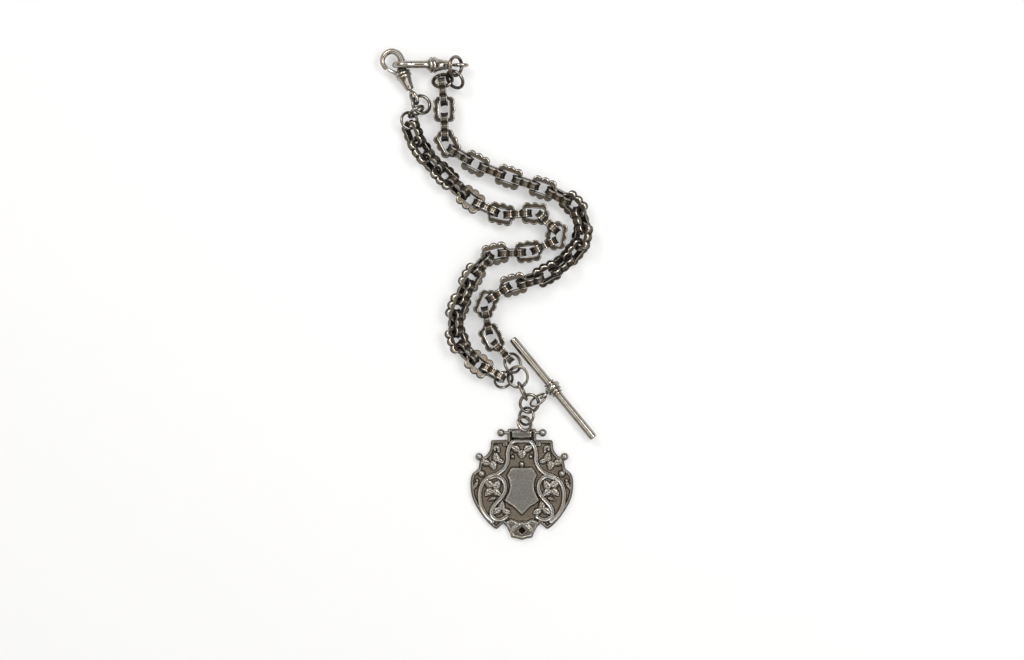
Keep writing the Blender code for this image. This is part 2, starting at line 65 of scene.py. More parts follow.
# Round a link's rim and through its slot: (distance in from the outline, height, tarnish and painted
# light);
# the slot's dark walls are tarnish and painted shade, and less than nothing is worn bright, partly a
# painted highlight
RIM_SECTION = (
    (0.1, -1.1, -1.0), (0.0, -0.98, -1.0), (0.0, -0.84, -0.5), (0.17, -0.76, 0.8), (0.22, -0.35, 0.1),
    (0.22, 0.35, 0.1), (0.17, 0.76, 0.8), (0.0, 0.84, -0.5), (0.0, 0.98, -1.0), (0.1, 1.1, -1.0),
    (0.28, 1.2, -0.6), (0.42, 1.2, 0.4),
)
# The slot's walls are painted dark: tarnish together with painted shade
SLOT_SECTION = (
    (0.34, 1.2, 0.4), (0.2, 1.2, -0.6), (0.06, 1.13, -0.8), (0.0, 1.0, 0.6), (0.0, 0.8, 1.0),
    (0.0, -0.8, 1.0), (0.0, -1.0, 0.6), (0.06, -1.13, -0.8), (0.2, -1.2, -0.6), (0.34, -1.2, 0.4),
)
RIM_UNDERSIDE = ((0.42, -1.2, 0.4), (0.28, -1.2, -0.6))
LINK_FACE = 1.2  # height of the two faces
EDGE_NOTCH = 0.9  # extra tarnish in the notches, on the band and on the faces
FACE_NOTCH = 0.3

# Strands, from the swivel end to the joining ring
LEFT_LINKS = 25
RIGHT_LINKS = 24
STEP = 0.25
FIRST_LOOK = 8  # steps ahead that give the first link its heading
SEARCH_AHEAD = 60  # steps within which the route's nearest point is sought
LEVELLING = 0.3
LOOK_AHEAD = 5.0
MOST_BEND = math.radians(55)
MOST_TWIST = math.radians(8)
LEFT_PITCH = ((0, 5.6), (6, 5.6), (7, 5.3), (8, 5.3), (9, 5.4), (10, 5.45), (13, 5.45), (14, 5.3),
              (15, 5.35), (16, 5.4), (18, 5.4), (19, 5.25), (26, 5.25))
RIGHT_PITCH = ((0, 5.7), (2, 5.7), (3, 5.5), (4, 5.5), (5, 5.74), (10, 5.74), (11, 5.52), (14, 5.52),
               (15, 5.7), (17, 5.7), (18, 5.51), (21, 5.51), (22, 5.7), (24, 5.7))
LEFT_ROUTE = (
    (-24.0, 51.4), (-22.4, 47.6), (-19.8, 44.2), (-15.2, 39.4), (-9.8, 34.0), (-4.7, 29.8),
    (-0.2, 27.4), (4.8, 25.8), (9.6, 25.8), (14.2, 26.2), (18.0, 25.6), (20.8, 23.5), (20.0, 20.3),
    (16.2, 17.9), (12.6, 15.4), (9.0, 14.2), (4.4, 13.6), (-0.4, 12.4), (-3.4, 9.0), (-5.2, 4.8),
    (-7.4, 1.2), (-9.4, -2.8), (-10.8, -7.2), (-10.8, -11.4), (-9.0, -15.8), (-5.8, -19.8),
    (-2.0, -23.0), (4.6, -26.8), (9.0, -29.4),
)
RIGHT_ROUTE = (
    (-14.7, 65.1), (-14.2, 60.0), (-14.4, 54.4), (-13.6, 49.4), (-9.8, 45.4), (-3.6, 41.8),
    (2.1, 39.4), (7.2, 37.6), (12.4, 35.8), (17.8, 34.0), (23.2, 31.8), (27.4, 28.4), (30.1, 23.0),
    (29.8, 17.4), (25.8, 12.2), (20.9, 8.0), (16.2, 5.6), (10.6, 4.0), (5.2, 2.6), (1.2, -0.2),
    (-0.8, -4.6), (-0.6, -9.6), (1.4, -14.0), (4.4, -18.0), (8.0, -21.8), (11.6, -25.4),
)
LEFT_ROLL = ((0, 45), (3, 60), (6, 88), (13, 90), (18, 62), (21, 62), (26, 90))
RIGHT_ROLL = ((0, 90), (2, 90), (4, 100), (9, 100), (14, 140), (18, 172), (20, 180), (26, 180))
LEFT_SINGLES = (0, 3, 6, 9, 12, 15, 18, 21, 24)
RIGHT_SINGLES = (0, 1, 4, 7, 10, 13, 16, 19, 22, 23)

# Wire rings, from the swivels down: (name, centre, normal, long direction, half length, half width,
# wire)
WIRE_RINGS = (
    ("ring_left_upper", (-21.53, 61.00, 3.41), (0.40, 0.23, 0.89), (1, 0, 0), 2.9, 2.9, 0.5),
    ("ring_left_middle", (-23.22, 58.68, 3.87), (0.56, -0.78, 0.28), (1, 0, 0), 2.6, 2.6, 0.5),
    ("ring_left_lower", (-25.34, 55.83, 4.04), (0.35, 0.18, 0.92), (1, 0, 0), 2.65, 2.65, 0.5),
    ("ring_right_upper", (-10.53, 73.05, 6.00), (0.77, -0.09, 0.63), (0, 1, 0), 3.0, 3.0, 0.5),
    ("ring_right_middle", (-10.74, 68.95, 4.62), (-0.55, -0.51, 0.66), (1, 0, 0), 3.05, 3.05, 0.5),
    ("ring_right_lower", (-14.73, 68.69, 2.63), (-0.18, 0.52, 0.83), (1, 0, 0), 3.1, 2.4, 0.55),
    ("ring_right_strand", (7.66, -21.80, 3.04), (0.59, 0.20, 0.79), (1, 0, 0), 3.1, 3.1, 0.48),
    ("ring_left_strand", (4.83, -27.13, 2.48), (0.27, -0.53, 0.81), (1, 0, 0), 2.95, 2.95, 0.46),
    ("ring_drop_upper", (10.88, -30.74, 3.48), (0.89, 0.42, 0.18), (0.1, -1, 0), 2.95, 1.5, 0.44),
    ("ring_drop_middle", (13.03, -34.71, 2.74), (0.09, -0.28, 0.95), (1, 0, 0), 2.95, 2.95, 0.48),
    ("ring_drop_lower", (12.11, -38.82, 2.13), (-0.58, 0.15, 0.80), (1, 0, 0), 2.75, 2.75, 0.46),
    ("tbar_link", (15.86, -33.64, 2.75), (-0.29, 0.43, 0.85), (0.8, 0.6, 0), 2.85, 1.45, 0.4),
)
WIRE_POLISH = 0.05  # how much fuller the drawn wire is than the plain solid's facets
TIGHT_RINGS = (
    "ring_left_strand", "ring_right_strand", "ring_left_lower", "ring_drop_lower", "tbar_link",
)
TIGHT_POLISH = -0.03
RING_GAP = 0.1  # between the two ends of the wire
RING_END_ROUND = 0.12
RING_END_SHARES = (0.0, 0.25, 0.6)  # of that rounding, where its sections lie
RING_END_FLAT = 0.65
RING_STEPS = 96
WIRE_SIDES = 20
SEAM_TURN = 2.4  # radians from one ring's seam to the next one's
SPLIT_RING_CENTRE = (9.38, -26.25, 2.94)
SPLIT_RING_NORMAL = (-0.33, 0.01, 0.94)
SPLIT_RING_RADIUS = 3.3
SPLIT_WIRE_WIDTH = 0.9
SPLIT_WIRE_HEIGHT = 0.36
SPLIT_RISE = 0.46
SPLIT_TURNS = 1.8

# Swivels: s runs from the collar towards the hook, t towards the gate
LEFT_SWIVEL = {
    "collar": (-27.36, 70.56, 3.9), "axis": (-0.426, 0.905, 0), "gate_side": (-0.905, -0.426, 0),
    "rear": 5.45, "neck": 0.0, "eye_distance": 8.3, "eye_roll": math.radians(55), "overreach": 0.5,
}
RIGHT_SWIVEL = {
    "collar": (-17.96, 73.6, 4.5), "axis": (-1, 0, 0.077), "gate_side": (0, 0, -1),
    "rear": 6.2, "neck": 3.5, "eye_distance": 9.1, "eye_roll": 0.0, "overreach": 0.0,
}
COLLAR_RADIUS = 2.6
BORE_END = -1.9
BORE_RADIUS = 0.95
MOUTH_RADIUS = 0.7
MOUTH_DEPTH = 0.7
BARREL_END_RADIUS = 1.3
# Bell and double collar: (distance, radius)
BARREL = (
    (-4.6, 1.42), (-4.45, 1.6), (-4.25, 1.6), (-4.1, 1.48), (-2.6, 1.82), (-1.5, 2.1), (-1.2, 2.38),
    (-0.85, 2.57), (-0.5, 2.6), (-0.25, 2.45), (-0.12, 2.28), (0.02, 2.45), (0.3, 2.6), (0.6, 2.57),
    (0.85, 2.4), (1.02, 2.0),
)
HOOK_PATH = (
    (2.5, -1.0, 1.25), (4.4, -1.5, 1.15), (6.2, -1.5, 1.05), (7.6, -0.75, 1.0), (8.4, 0.45, 0.95),
    (8.4, 2.05, 0.9), (7.65, 3.5, 0.85), (6.4, 4.3, 0.8), (5.05, 4.35, 0.8), (4.1, 4.1, 0.75),
)
NECK_START = (1.15, 0.0, 1.7)
HOOK_TIP_ROUND = 0.35
HOOK_STEPS = 7
HOOK_SIDES = 40
SLOT_LOW = (-0.6, 0.0, -0.8)
SLOT_HIGH = (3.4, 3.6, 0.8)
GATE_PIVOT = (0.6, 1.5)
GATE_NOSE = (3.0, 3.3)
GATE_ROOT_RADIUS = 0.75
GATE_WIDTH = 1.2
GATE_THICKNESS = 1.0
GATE_ROUND = 0.55
GATE_LEVELS = 10
GATE_ROOT_STEPS = 12
GATE_TIP_STEPS = 8
PIN_RADIUS = 0.35
PIN_HOLE = 0.5
PIN_HALF_LENGTH = 2.0
SPRING_FROM = (-0.4, 0.3)
SPRING_TO = (2.6, 0.3)
SPRING_BOW = 0.1
SPRING_HALF_WIDTH = 0.45
SPRING_HALF_THICKNESS = 0.09
SPRING_STEPS = 16
SPRING_SIDES = 12
EYE_HALF_LENGTH = 2.0
EYE_HALF_WIDTH = 1.45
EYE_WIRE = 0.55
STEM_RADIUS = 0.42
STEM_HEAD = 0.7
STEM_GAP = 0.3
STEM_HEAD_LENGTH = 0.6

# T-bar, and the collar that turns on it between two shoulders
TBAR_CENTRE = (20.64, -29.86, 2.75)
TBAR_AXIS = (0.634, -0.773, 0)
TBAR_LENGTH = 41.2
TBAR_END = (
    (0.0, 0.02), (0.0, 0.85), (0.06, 1.02), (0.2, 1.15), (0.42, 1.22), (0.6, 1.24), (0.75, 1.2),
    (0.9, 1.24), (1.3, 1.3),
)
TBAR_SHOULDER = (
    (2.6, 1.3), (2.45, 1.34), (2.4, 1.7), (2.32, 1.82), (2.2, 1.85), (1.95, 1.85), (1.86, 1.8),
    (1.82, 1.66), (1.8, 1.3),
)
TBAR_COLLAR_BORE = 1.62
TBAR_COLLAR_HALF = 1.5
TBAR_COLLAR_WAIST = 1.95
TBAR_BEADS = ((-0.42, 0.86, 2.66), (0.98, 0.42, 2.3))  # (middle, half length, radius)
TBAR_BEAD_STEPS = 12
TBAR_EYE_DISTANCE = 3.55
TBAR_EYE_RADIUS = 1.35
TBAR_EYE_WIRE = 0.45

# Fob: right halves of its shapes about its middle, from top to bottom
FOB_MIDDLE = (10.66, -60.0)
FOB_BACK = -0.09
FOB_SPOKES = 540
FOB_CIRCLES = 120
FOB_HOLLOW = 0.35
# The wall, the back's edge and the hollow: (share of the rim's height, lift, share of the reach)
FOB_WALL = ((0.6, 0, 1.0), (0.12, 0, 1.0), (0, 0, 0.992), (0, 0, 0.93), (0, FOB_HOLLOW, 0.9))
STIPPLE = (3.1, 0.09)  # how fine and how high the field's stipple is
SMALL_BAND_TOP = 2.15
SMALL_BAND_HALF_WIDTH = 0.45
BAND_GROOVE = 0.14
RING_SPACING = 0.12  # the face's points, on average
SPOKE_SPACING = 0.26
# The outline's right half, as runs of points that are joined by straight lines or one smooth curve
FOB_HEAD = ((0, 17.2), (4.32, 17.1), (4.64, 16.4), (4.64, 15.2), (4.64, 13.6), (9.6, 13.44))
FOB_SHOULDER = ((9.92, 12.96), (10.24, 10.4), (11.52, 8.48), (12.8, 8.0))
FOB_SIDE = ((13.5, 6.9), (13.76, 5.3), (13.9, 4.4))
FOB_FLANK = (
    (14.72, 3.68), (16.0, 2.4), (16.48, -0.16), (16.32, -3.04), (15.68, -5.6), (14.4, -8.16),
    (12.48, -11.04), (10.24, -13.6), (8.64, -14.88),
)
FOB_FOOT = (
    (8.0, -15.04), (5.92, -13.28), (4.8, -14.56), (3.84, -16.48), (3.36, -17.76), (1.6, -18.08),
    (0, -18.56),
)
FOB_SHIELD = (
    (0, 4.9), (3.4, 4.9), (5.1, 2.3), (4.4, 0.8), (4.0, -1.12), (4.35, -3.04), (5.5, -5.2),
    (5.92, -5.92), (3.7, -7.5), (2.9, -7.9), (0, -10.72),
)
FOB_CREST = ((0, 16.9), (3.5, 16.6), (3.3, 14.1), (0, 13.9))
FIELD = 1.35
RIM_WIDTH = 1.0
RIM_TOP = 2.05
SHIELD_TOP = 2.6
CREST_TOP = 3.0
BAND_TOP = 2.35
BAND_HALF_WIDTH = 0.64
ARCH_BAND = (
    (0, 13.28), (2.62, 13.12), (3.9, 11.68), (4.54, 9.44), (4.54, 6.88), (5.5, 4.64), (7.42, 2.88),
    (9.98, 1.92), (12.22, 0.16), (13.34, -2.4), (13.5, -4.96), (12.86, -8.16), (11.26, -10.72),
    (9.34, -12.64),
)
SCROLL_BAND = (
    (10.3, 1.28), (8.06, 1.92), (6.14, 0.8), (5.34, -1.12), (5.5, -3.04), (6.62, -4.96), (8.38, -6.88),
    (9.66, -8.8), (9.66, -10.72), (8.06, -12.0), (6.14, -11.84), (4.86, -11.04),
)
SMALL_SCROLL = ((7.4, 9.9), (7.5, 11.0), (8.06, 11.6), (8.7, 11.2), (8.6, 10.5))
FOOT_BANDS = (((1.2, -13.4), (3.26, -12.32), (4.6, -12.9)), ((0.2, -13.1), (1.98, -14.24), (3.5, -16.2)))
# Leaves: (x, y, direction they point in degrees, half length, half width)
LEAVES = (
    (2.1, 10.85, 30, 1.6, 1.3), (0.0, 8.9, 270, 1.45, 1.55), (8.0, -0.9, 120, 1.65, 1.45),
    (10.7, -0.5, 35, 1.65, 1.45), (10.7, -3.3, -40, 1.65, 1.35), (8.0, -3.4, 215, 1.6, 1.3),
    (4.9, -9.5, 200, 1.45, 1.25), (6.4, -7.5, 100, 1.5, 1.3), (8.0, -9.3, -40, 1.45, 1.3),
    (8.3, 8.1, 80, 1.6, 1.4), (9.2, 5.3, 255, 1.6, 1.4), (11.7, 6.3, 15, 1.45, 1.25),
    (6.7, 6.7, 200, 1.2, 1.05), (9.6, -5.4, 340, 1.5, 0.7), (14.9, -1.2, 300, 1.4, 0.7),
)
LEAF_TOP = 2.15
BOSSES = ((12.86, 2.72, 1.2, 2.6), (2.94, 8.16, 0.75, 2.3), (0.0, 5.75, 1.0, 2.3), (14.3, 0.5, 0.7, 2.1))
SQUARE = (5.3, 12.3, 0.85, 2.4)
DIAMOND = (0.0, -15.5, 1.15)
FOB_BALLS = ((6.72, 15.84), (13.7, 8.16))
FOB_BALL_RADIUS = 1.28
FOB_BALL_HEIGHT = 1.3
FOB_ARMS = (((4.2, 15.84), (6.0, 15.84)), ((12.6, 7.6), (13.4, 8.05)))
FOB_ARM_RADIUS = 0.6
FOB_EYE_CENTRE = (11.5, -41.2, 2.35)
FOB_EYE_NORMAL = (0.45, 0.35, 0.82)
FOB_EYE_RADIUS = 2.3
FOB_EYE_WIRE = 0.55

# Camera straight above, and what it frames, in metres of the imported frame
VIEW_MIDDLE = (0.00779, -0.01137)
VIEW_WIDTH = 0.3277
CAMERA_DISTANCE = 1.0
CHAIN_HEIGHT = 0.004
SENSOR = 36.0
FLOOR_HALF = 3.0
# The studio's brightness, as (height on the sky from the horizon at 0 to overhead at 1, colour)
SKY = (
    (0.0, (0.75, 0.74, 0.72)), (0.3, (0.42, 0.41, 0.39)), (0.5, (0.13, 0.127, 0.12)),
    (0.72, (0.42, 0.41, 0.39)), (0.86, (1.55, 1.54, 1.5)), (0.93, (1.35, 1.34, 1.31)),
    (0.965, (0.35, 0.345, 0.335)),
    (0.985, (0.08, 0.08, 0.078)), (1.0, (0.05, 0.05, 0.05)),
)
TABLE_GLOW = 0.4  # the table is lit from below as well
SKY_STRENGTH = 1.25
SKY_LEAN = (-0.28, 0.36, 0.0)


# Materials

class Graph:
    """Short names for the shader nodes that the metals are built from."""

    def __init__(self, material):
        material.use_nodes = True
        self.tree = material.node_tree
        self.shader = self.tree.nodes["Principled BSDF"]
        coords = self.tree.nodes.new("ShaderNodeTexCoord")
        self.place = self.vector("MULTIPLY", coords.outputs["Object"], (1 / MM,) * 3)

    def plug(self, socket, value):
        if isinstance(value, bpy.types.NodeSocket):
            self.tree.links.new(value, socket)
        else:
            socket.default_value = value

    def vector(self, operation, value, factors):
        node = self.tree.nodes.new("ShaderNodeVectorMath")
        node.operation = operation
        self.plug(node.inputs[0], value)
        self.plug(node.inputs[1], factors)
        return node.outputs[0]

    def noise(self, scale, detail=4.0, roughness=0.55, stretch=(1, 1, 1)):
        node = self.tree.nodes.new("ShaderNodeTexNoise")
        self.plug(node.inputs["Vector"], self.vector("MULTIPLY", self.place, stretch))
        node.inputs["Scale"].default_value = scale
        node.inputs["Detail"].default_value = detail
        node.inputs["Roughness"].default_value = roughness
        return node.outputs[0]

    def math(self, operation, first, second=0.5, clamp=False):
        node = self.tree.nodes.new("ShaderNodeMath")
        node.operation = operation
        node.use_clamp = clamp
        self.plug(node.inputs[0], first)
        self.plug(node.inputs[1], second)
        return node.outputs[0]

    def between(self, value, low, high, start=0.0, end=1.0):
        """From start to end as the value goes from low to high, and level beyond."""
        node = self.tree.nodes.new("ShaderNodeMapRange")
        node.interpolation_type = "SMOOTHSTEP"
        for socket, number in zip(node.inputs, (value, low, high, start, end)):
            self.plug(socket, number)
        return node.outputs[0]

    def mix(self, amount, first, second):
        node = self.tree.nodes.new("ShaderNodeMix")
        node.data_type = "RGBA"
        self.plug(node.inputs[0], amount)
        self.plug(node.inputs[6], (*first, 1) if isinstance(first, tuple) else first)
        self.plug(node.inputs[7], (*second, 1) if isinstance(second, tuple) else second)
        return node.outputs[2]

    def attribute(self, name):
        node = self.tree.nodes.new("ShaderNodeAttribute")
        node.attribute_name = name
        return node.outputs["Fac"]

    def occlusion_shade(self, reach):
        """How closed in a point is, from 0 in the open to 1 deep in a crevice or between parts: how much
        painted shade it gets.
        """
        node = self.tree.nodes.new("ShaderNodeAmbientOcclusion")
        node.samples = 8
        node.inputs["Distance"].default_value = reach * MM
        return self.math("SUBTRACT", 1.0, node.outputs["AO"], clamp=True)

    def bump(self, height, strength, depth):
        node = self.tree.nodes.new("ShaderNodeBump")
        node.inputs["Strength"].default_value = strength
        node.inputs["Distance"].default_value = depth * MM
        self.plug(node.inputs["Height"], height)
        self.plug(self.shader.inputs["Normal"], node.outputs["Normal"])


def worn_silver(name, clean, warm, tarnish_and_painted_light, roughness, crevice_shade_gain, grain, brushed=False, scratched=0.35):
    """Silver with warm blotches, tarnish in its recesses, painted shade in its crevices and between parts,
    bright worn edges that are partly a painted highlight, and scratches.
    """
    made = bpy.data.materials.new(name)
    graph = Graph(made)
    blotches = graph.noise(0.32, 3.0)
    specks = graph.noise(2.6, 8.0, 0.7)
    fine = graph.noise(grain, 6.0, 0.65)
    scratches = graph.noise(3.0, 5.0, 0.7, (0.5, 9.0, 9.0) if not brushed else (9.0, 0.4, 1.0))
    metal = graph.mix(graph.between(blotches, 0.45, 0.62), clean, warm)
    bright = tuple(min(1.0, c * 1.25) for c in clean)
    metal = graph.mix(graph.between(specks, 0.5, 0.72, 0.0, 0.7), metal, bright)
    recess = graph.attribute("recess")
    patchy = graph.between(specks, 0.25, 0.6, 0.5, 1.0)
    worn_and_highlight = graph.math("MULTIPLY", graph.between(recess, 0.0, -1.0), patchy)
    # Below nothing the recess brightens the metal: worn edges, partly a painted highlight
    metal = graph.mix(worn_and_highlight, metal, WORN_EDGE_HIGHLIGHT)
    tarnish_and_painted_light = graph.mix(graph.between(recess, 1.0, 1.5), tarnish_and_painted_light, DEEP_TARNISH)
    # Painted shade: ambient occlusion darkens crevices and the gaps between parts, joined below to the
    # tarnish that the recess attribute carries
    closed = graph.math("MULTIPLY", graph.occlusion_shade(2.2), crevice_shade_gain)
    closed = graph.math("MAXIMUM", closed, recess)
    uneven = graph.between(specks, 0.3, 0.7, 0.65, 1.15)
    dark = graph.math("MULTIPLY", closed, uneven, clamp=True)
    film = graph.between(graph.noise(0.9, 5.0, 0.65), 0.5, 0.75, 0.0, 0.45)
    film = graph.math("MULTIPLY", film, graph.math("SUBTRACT", 1.0, worn_and_highlight))
    dark = graph.math("MAXIMUM", dark, film)
    graph.plug(graph.shader.inputs["Base Color"], graph.mix(dark, metal, tarnish_and_painted_light))
    graph.plug(graph.shader.inputs["Metallic"], graph.between(dark, 0.3, 1.0, 1.0, 0.5))
    polish = graph.between(scratches, 0.3, 0.75, roughness * 0.75, roughness * 1.3)
    graph.shader.inputs["Specular IOR Level"].default_value = TARNISH_GLOSS
    dull = graph.math("MULTIPLY", dark, 0.55)
    graph.plug(graph.shader.inputs["Roughness"], graph.math("MAXIMUM", polish, dull))
    relief = graph.math("ADD", graph.math("MULTIPLY", fine, 0.6), graph.math("MULTIPLY", scratches, 0.5))
    graph.bump(relief, scratched, 0.05)
    return made


# Colour of worn edges, which also serves as a painted highlight on rims and crests
WORN_EDGE_HIGHLIGHT = (0.54, 0.51, 0.455)
DEEP_TARNISH = (0.007, 0.006, 0.004)
TARNISH_GLOSS = 0.1
LINK_METAL = worn_silver(
    "link_silver", (0.152, 0.138, 0.114), (0.158, 0.117, 0.082), (0.005, 0.005, 0.0035), 0.24, 2.0, 7.0
)
RING_METAL = worn_silver(
    "ring_silver", (0.215, 0.20, 0.172), (0.175, 0.142, 0.106), (0.006, 0.005, 0.004), 0.12, 2.0, 9.0,
    scratched=0.15
)
FITTING_METAL = worn_silver(
    "fitting_silver", (0.40, 0.38, 0.34), (0.34, 0.285, 0.225), (0.010, 0.008, 0.006), 0.12, 1.4, 8.0,
    scratched=0.09
)
GATE_METAL = worn_silver(
    "gate_silver", (0.48, 0.45, 0.41), (0.42, 0.34, 0.29), (0.05, 0.04, 0.03), 0.2, 0.3, 8.0, scratched=0.12
)
STEEL = worn_silver("steel", (0.30, 0.30, 0.31), (0.24, 0.21, 0.18), (0.03, 0.024, 0.017), 0.3, 0.8, 12.0)
FOB_METAL = worn_silver(
    "fob_silver", (0.28, 0.275, 0.26), (0.26, 0.235, 0.20), (0.108, 0.084, 0.060), 0.28, 0.6, 7.0,
    brushed=True
)


# Pieces

def new_shape():
    shape = bmesh.new()
    shape.verts.layers.float.new("recess")
    return shape


def added(name, data):
    made = bpy.data.objects.new(name, data)
    bpy.context.scene.collection.objects.link(made)
    return made


def finished(name, shape, metal, sharp):
    """An object from a shape in the part's millimetres, smooth but for edges sharper than the angle."""
    bmesh.ops.recalc_face_normals(shape, faces=shape.faces)
    shape.transform(TO_FRAME)
    mesh = bpy.data.meshes.new(name)
    shape.to_mesh(mesh)
    shape.free()
    mesh.shade_smooth()
    mesh.set_sharp_from_angle(angle=math.radians(sharp))
    mesh.materials.append(metal)
    return added(name, mesh)


def piece(name, node, builders, metal, sharp=38, cutters=(), joined=()):
    """The visible piece for a CAD node: it takes the node's place and moves with its body."""
    shape = new_shape()
    for build in builders:
        build(shape)
    made = finished(name, shape, metal, sharp)
    for operation, helpers in (("DIFFERENCE", cutters), ("UNION", joined)):
        for build in helpers:
            combine(made, operation, build, metal, sharp)
    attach(made, BODY_OF[node])
    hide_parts(node)


def combine(target, operation, build, metal, sharp):
    """Cuts one more shape from a piece, or joins it on, and keeps the resulting mesh."""
    shape = new_shape()
    build(shape)
    helper = finished("helper", shape, metal, sharp)
    modifier = target.modifiers.new("combined", "BOOLEAN")
    modifier.operation = operation
    modifier.solver = "EXACT"
    modifier.object = helper
    bpy.context.view_layer.update()
    result = bpy.data.meshes.new_from_object(target.evaluated_get(bpy.context.evaluated_depsgraph_get()))
    target.modifiers.clear()
    target.data = result
    result.shade_smooth()
    result.set_sharp_from_angle(angle=math.radians(sharp))
    bpy.data.objects.remove(helper)


def skin(shape, rings, closed=False, tarnish_and_painted_light=None):
    """A tube through rings of points, open rings capped at both ends."""
    layer = shape.verts.layers.float["recess"]
    made = []
    for number, ring in enumerate(rings):
        points = [shape.verts.new(p) for p in ring]
        if tarnish_and_painted_light is not None:
            for point, value in zip(points, tarnish_and_painted_light[number]):
                point[layer] = value
        made.append(points)
    following = made[1:] + made[:1] if closed else made[1:]
    for here, there in zip(made, following):
        for k in range(len(here)):
            after = (k + 1) % len(here)
            shape.faces.new([here[k], here[after], there[after], there[k]])
    if not closed:
        shape.faces.new(made[0][::-1])
        shape.faces.new(made[-1])


def circle(centre, across, up, radius, sides):
    angles = [math.tau * k / sides for k in range(sides)]
    return [centre + radius * (math.cos(a) * across + math.sin(a) * up) for a in angles]


def square_to(normal, direction):
    """The direction, less what of it lies along the normal."""
    return (Vector(direction) - normal * normal.dot(Vector(direction))).normalized()


def curve_through(points, steps=None):
    """A smooth curve through points of any dimension, with so many steps from each to the next, or
    with points about STEP apart."""
    knots = [Vector(p) for p in (points[0], *points, points[-1])]
    curve = []
    for k in range(1, len(knots) - 2):
        a, b, c, d = knots[k - 1 : k + 3]
        count = steps or max(2, round((c - b).length / STEP))
        for t in (step / count for step in range(count)):
            curve.append(
                0.5 * (2 * b + (c - a) * t + (2 * a - 5 * b + 4 * c - d) * t**2
                       + (3 * b - a - 3 * c + d) * t**3)
            )
    return curve + [knots[-1]]


# Links

def lobe_points():
    """Points round the scalloped outline: each lobe's centre, the direction from it, and how deep
    in the notch between two lobes the point is."""
    centres = [Vector(c) for c in LOBES] + [-Vector(c) for c in LOBES]
    notches = []
    for here, there in zip(centres, centres[1:] + centres[:1]):
        middle, half = (here + there) / 2, (there - here).length / 2
        across = Vector(((there - here).y, -(there - here).x)).normalized()
        notches.append(middle + across * math.sqrt(LOBE_RADIUS**2 - half**2))
    points = []
    for k, centre in enumerate(centres):
        start, end = notches[k - 1] - centre, notches[k] - centre
        first = math.atan2(start.y, start.x)
        sweep = (math.atan2(end.y, end.x) - first) % math.tau
        for step in range(LOBE_POINTS):
            angle = first + sweep * step / LOBE_POINTS
            nearest = min(step, LOBE_POINTS - step) / LOBE_POINTS
            points.append((centre, Vector((math.cos(angle), math.sin(angle))), max(0.0, 1 - 5 * nearest)))
    return points


def slot_point(direction, margin):
    """Where the rounded slot's edge lies in a direction from the middle of the link."""
    long, wide, corner = SLOT_HALF_LENGTH + margin, SLOT_HALF_WIDTH + margin, SLOT_CORNER
    x, y = abs(direction.x), abs(direction.y)
    reach = min(long / x if x > 1e-6 else math.inf, wide / y if y > 1e-6 else math.inf)
    point = Vector((x, y)) * reach
    inner = Vector((long - corner, wide - corner))
    if point.x > inner.x and point.y > inner.y:
        along = Vector((x, y)).normalized()
        middle = along.dot(inner)
        reach = middle + math.sqrt(max(0.0, corner**2 - inner.length_squared + middle**2))
        point = along * reach
    return Vector((math.copysign(point.x, direction.x), math.copysign(point.y, direction.y)))


def link_shape(shape, place):
    """One link: two thin scalloped edges with a hollowed band between them, and its slot."""
    around = lobe_points()
    outline = [centre + LOBE_RADIUS * out for centre, out, _ in around]
    # Per-point tarnish, with painted shade on the slot walls and a partly painted highlight on the rims
    rings, tarnish_and_painted_light = [], []

    def rim(section):
        for inset, height, dark in section:
            flat = [centre + (LOBE_RADIUS - inset) * out for centre, out, _ in around]
            side = EDGE_NOTCH if abs(height) < LINK_FACE else FACE_NOTCH
            rings.append([place @ Vector((*p, height)) for p in flat])
            tarnish_and_painted_light.append([min(1.0, dark + side * notch) for _, _, notch in around])

    rim(RIM_SECTION)
    for margin, height, dark in SLOT_SECTION:
        flat = [slot_point(p.normalized(), margin) for p in outline]
        rings.append([place @ Vector((*p, height)) for p in flat])
        tarnish_and_painted_light.append([dark] * len(around))
    rim(RIM_UNDERSIDE)
    skin(shape, rings, closed=True, tarnish_and_painted_light=tarnish_and_painted_light)


def limited(value, most):
    return max(-most, min(most, value))


def along_table(table, number):
    for (low, first), (high, last) in zip(table, table[1:]):
        if number <= high:
            return first + (last - first) * (number - low) / (high - low)
    return table[-1][1]


def placed_frame(position, x, y):
    return Matrix.Translation(position) @ Matrix((x, y, x.cross(y))).transposed().to_4x4()


def frame_along(position, heading, roll):
    """A frame with x along the heading and y rolled about it from the horizontal."""
    x = heading.normalized()
    side = Vector((0, 0, 1)).cross(x).normalized()
    y = side * math.cos(roll) + x.cross(side) * math.sin(roll)
    return placed_frame(position, x, y)


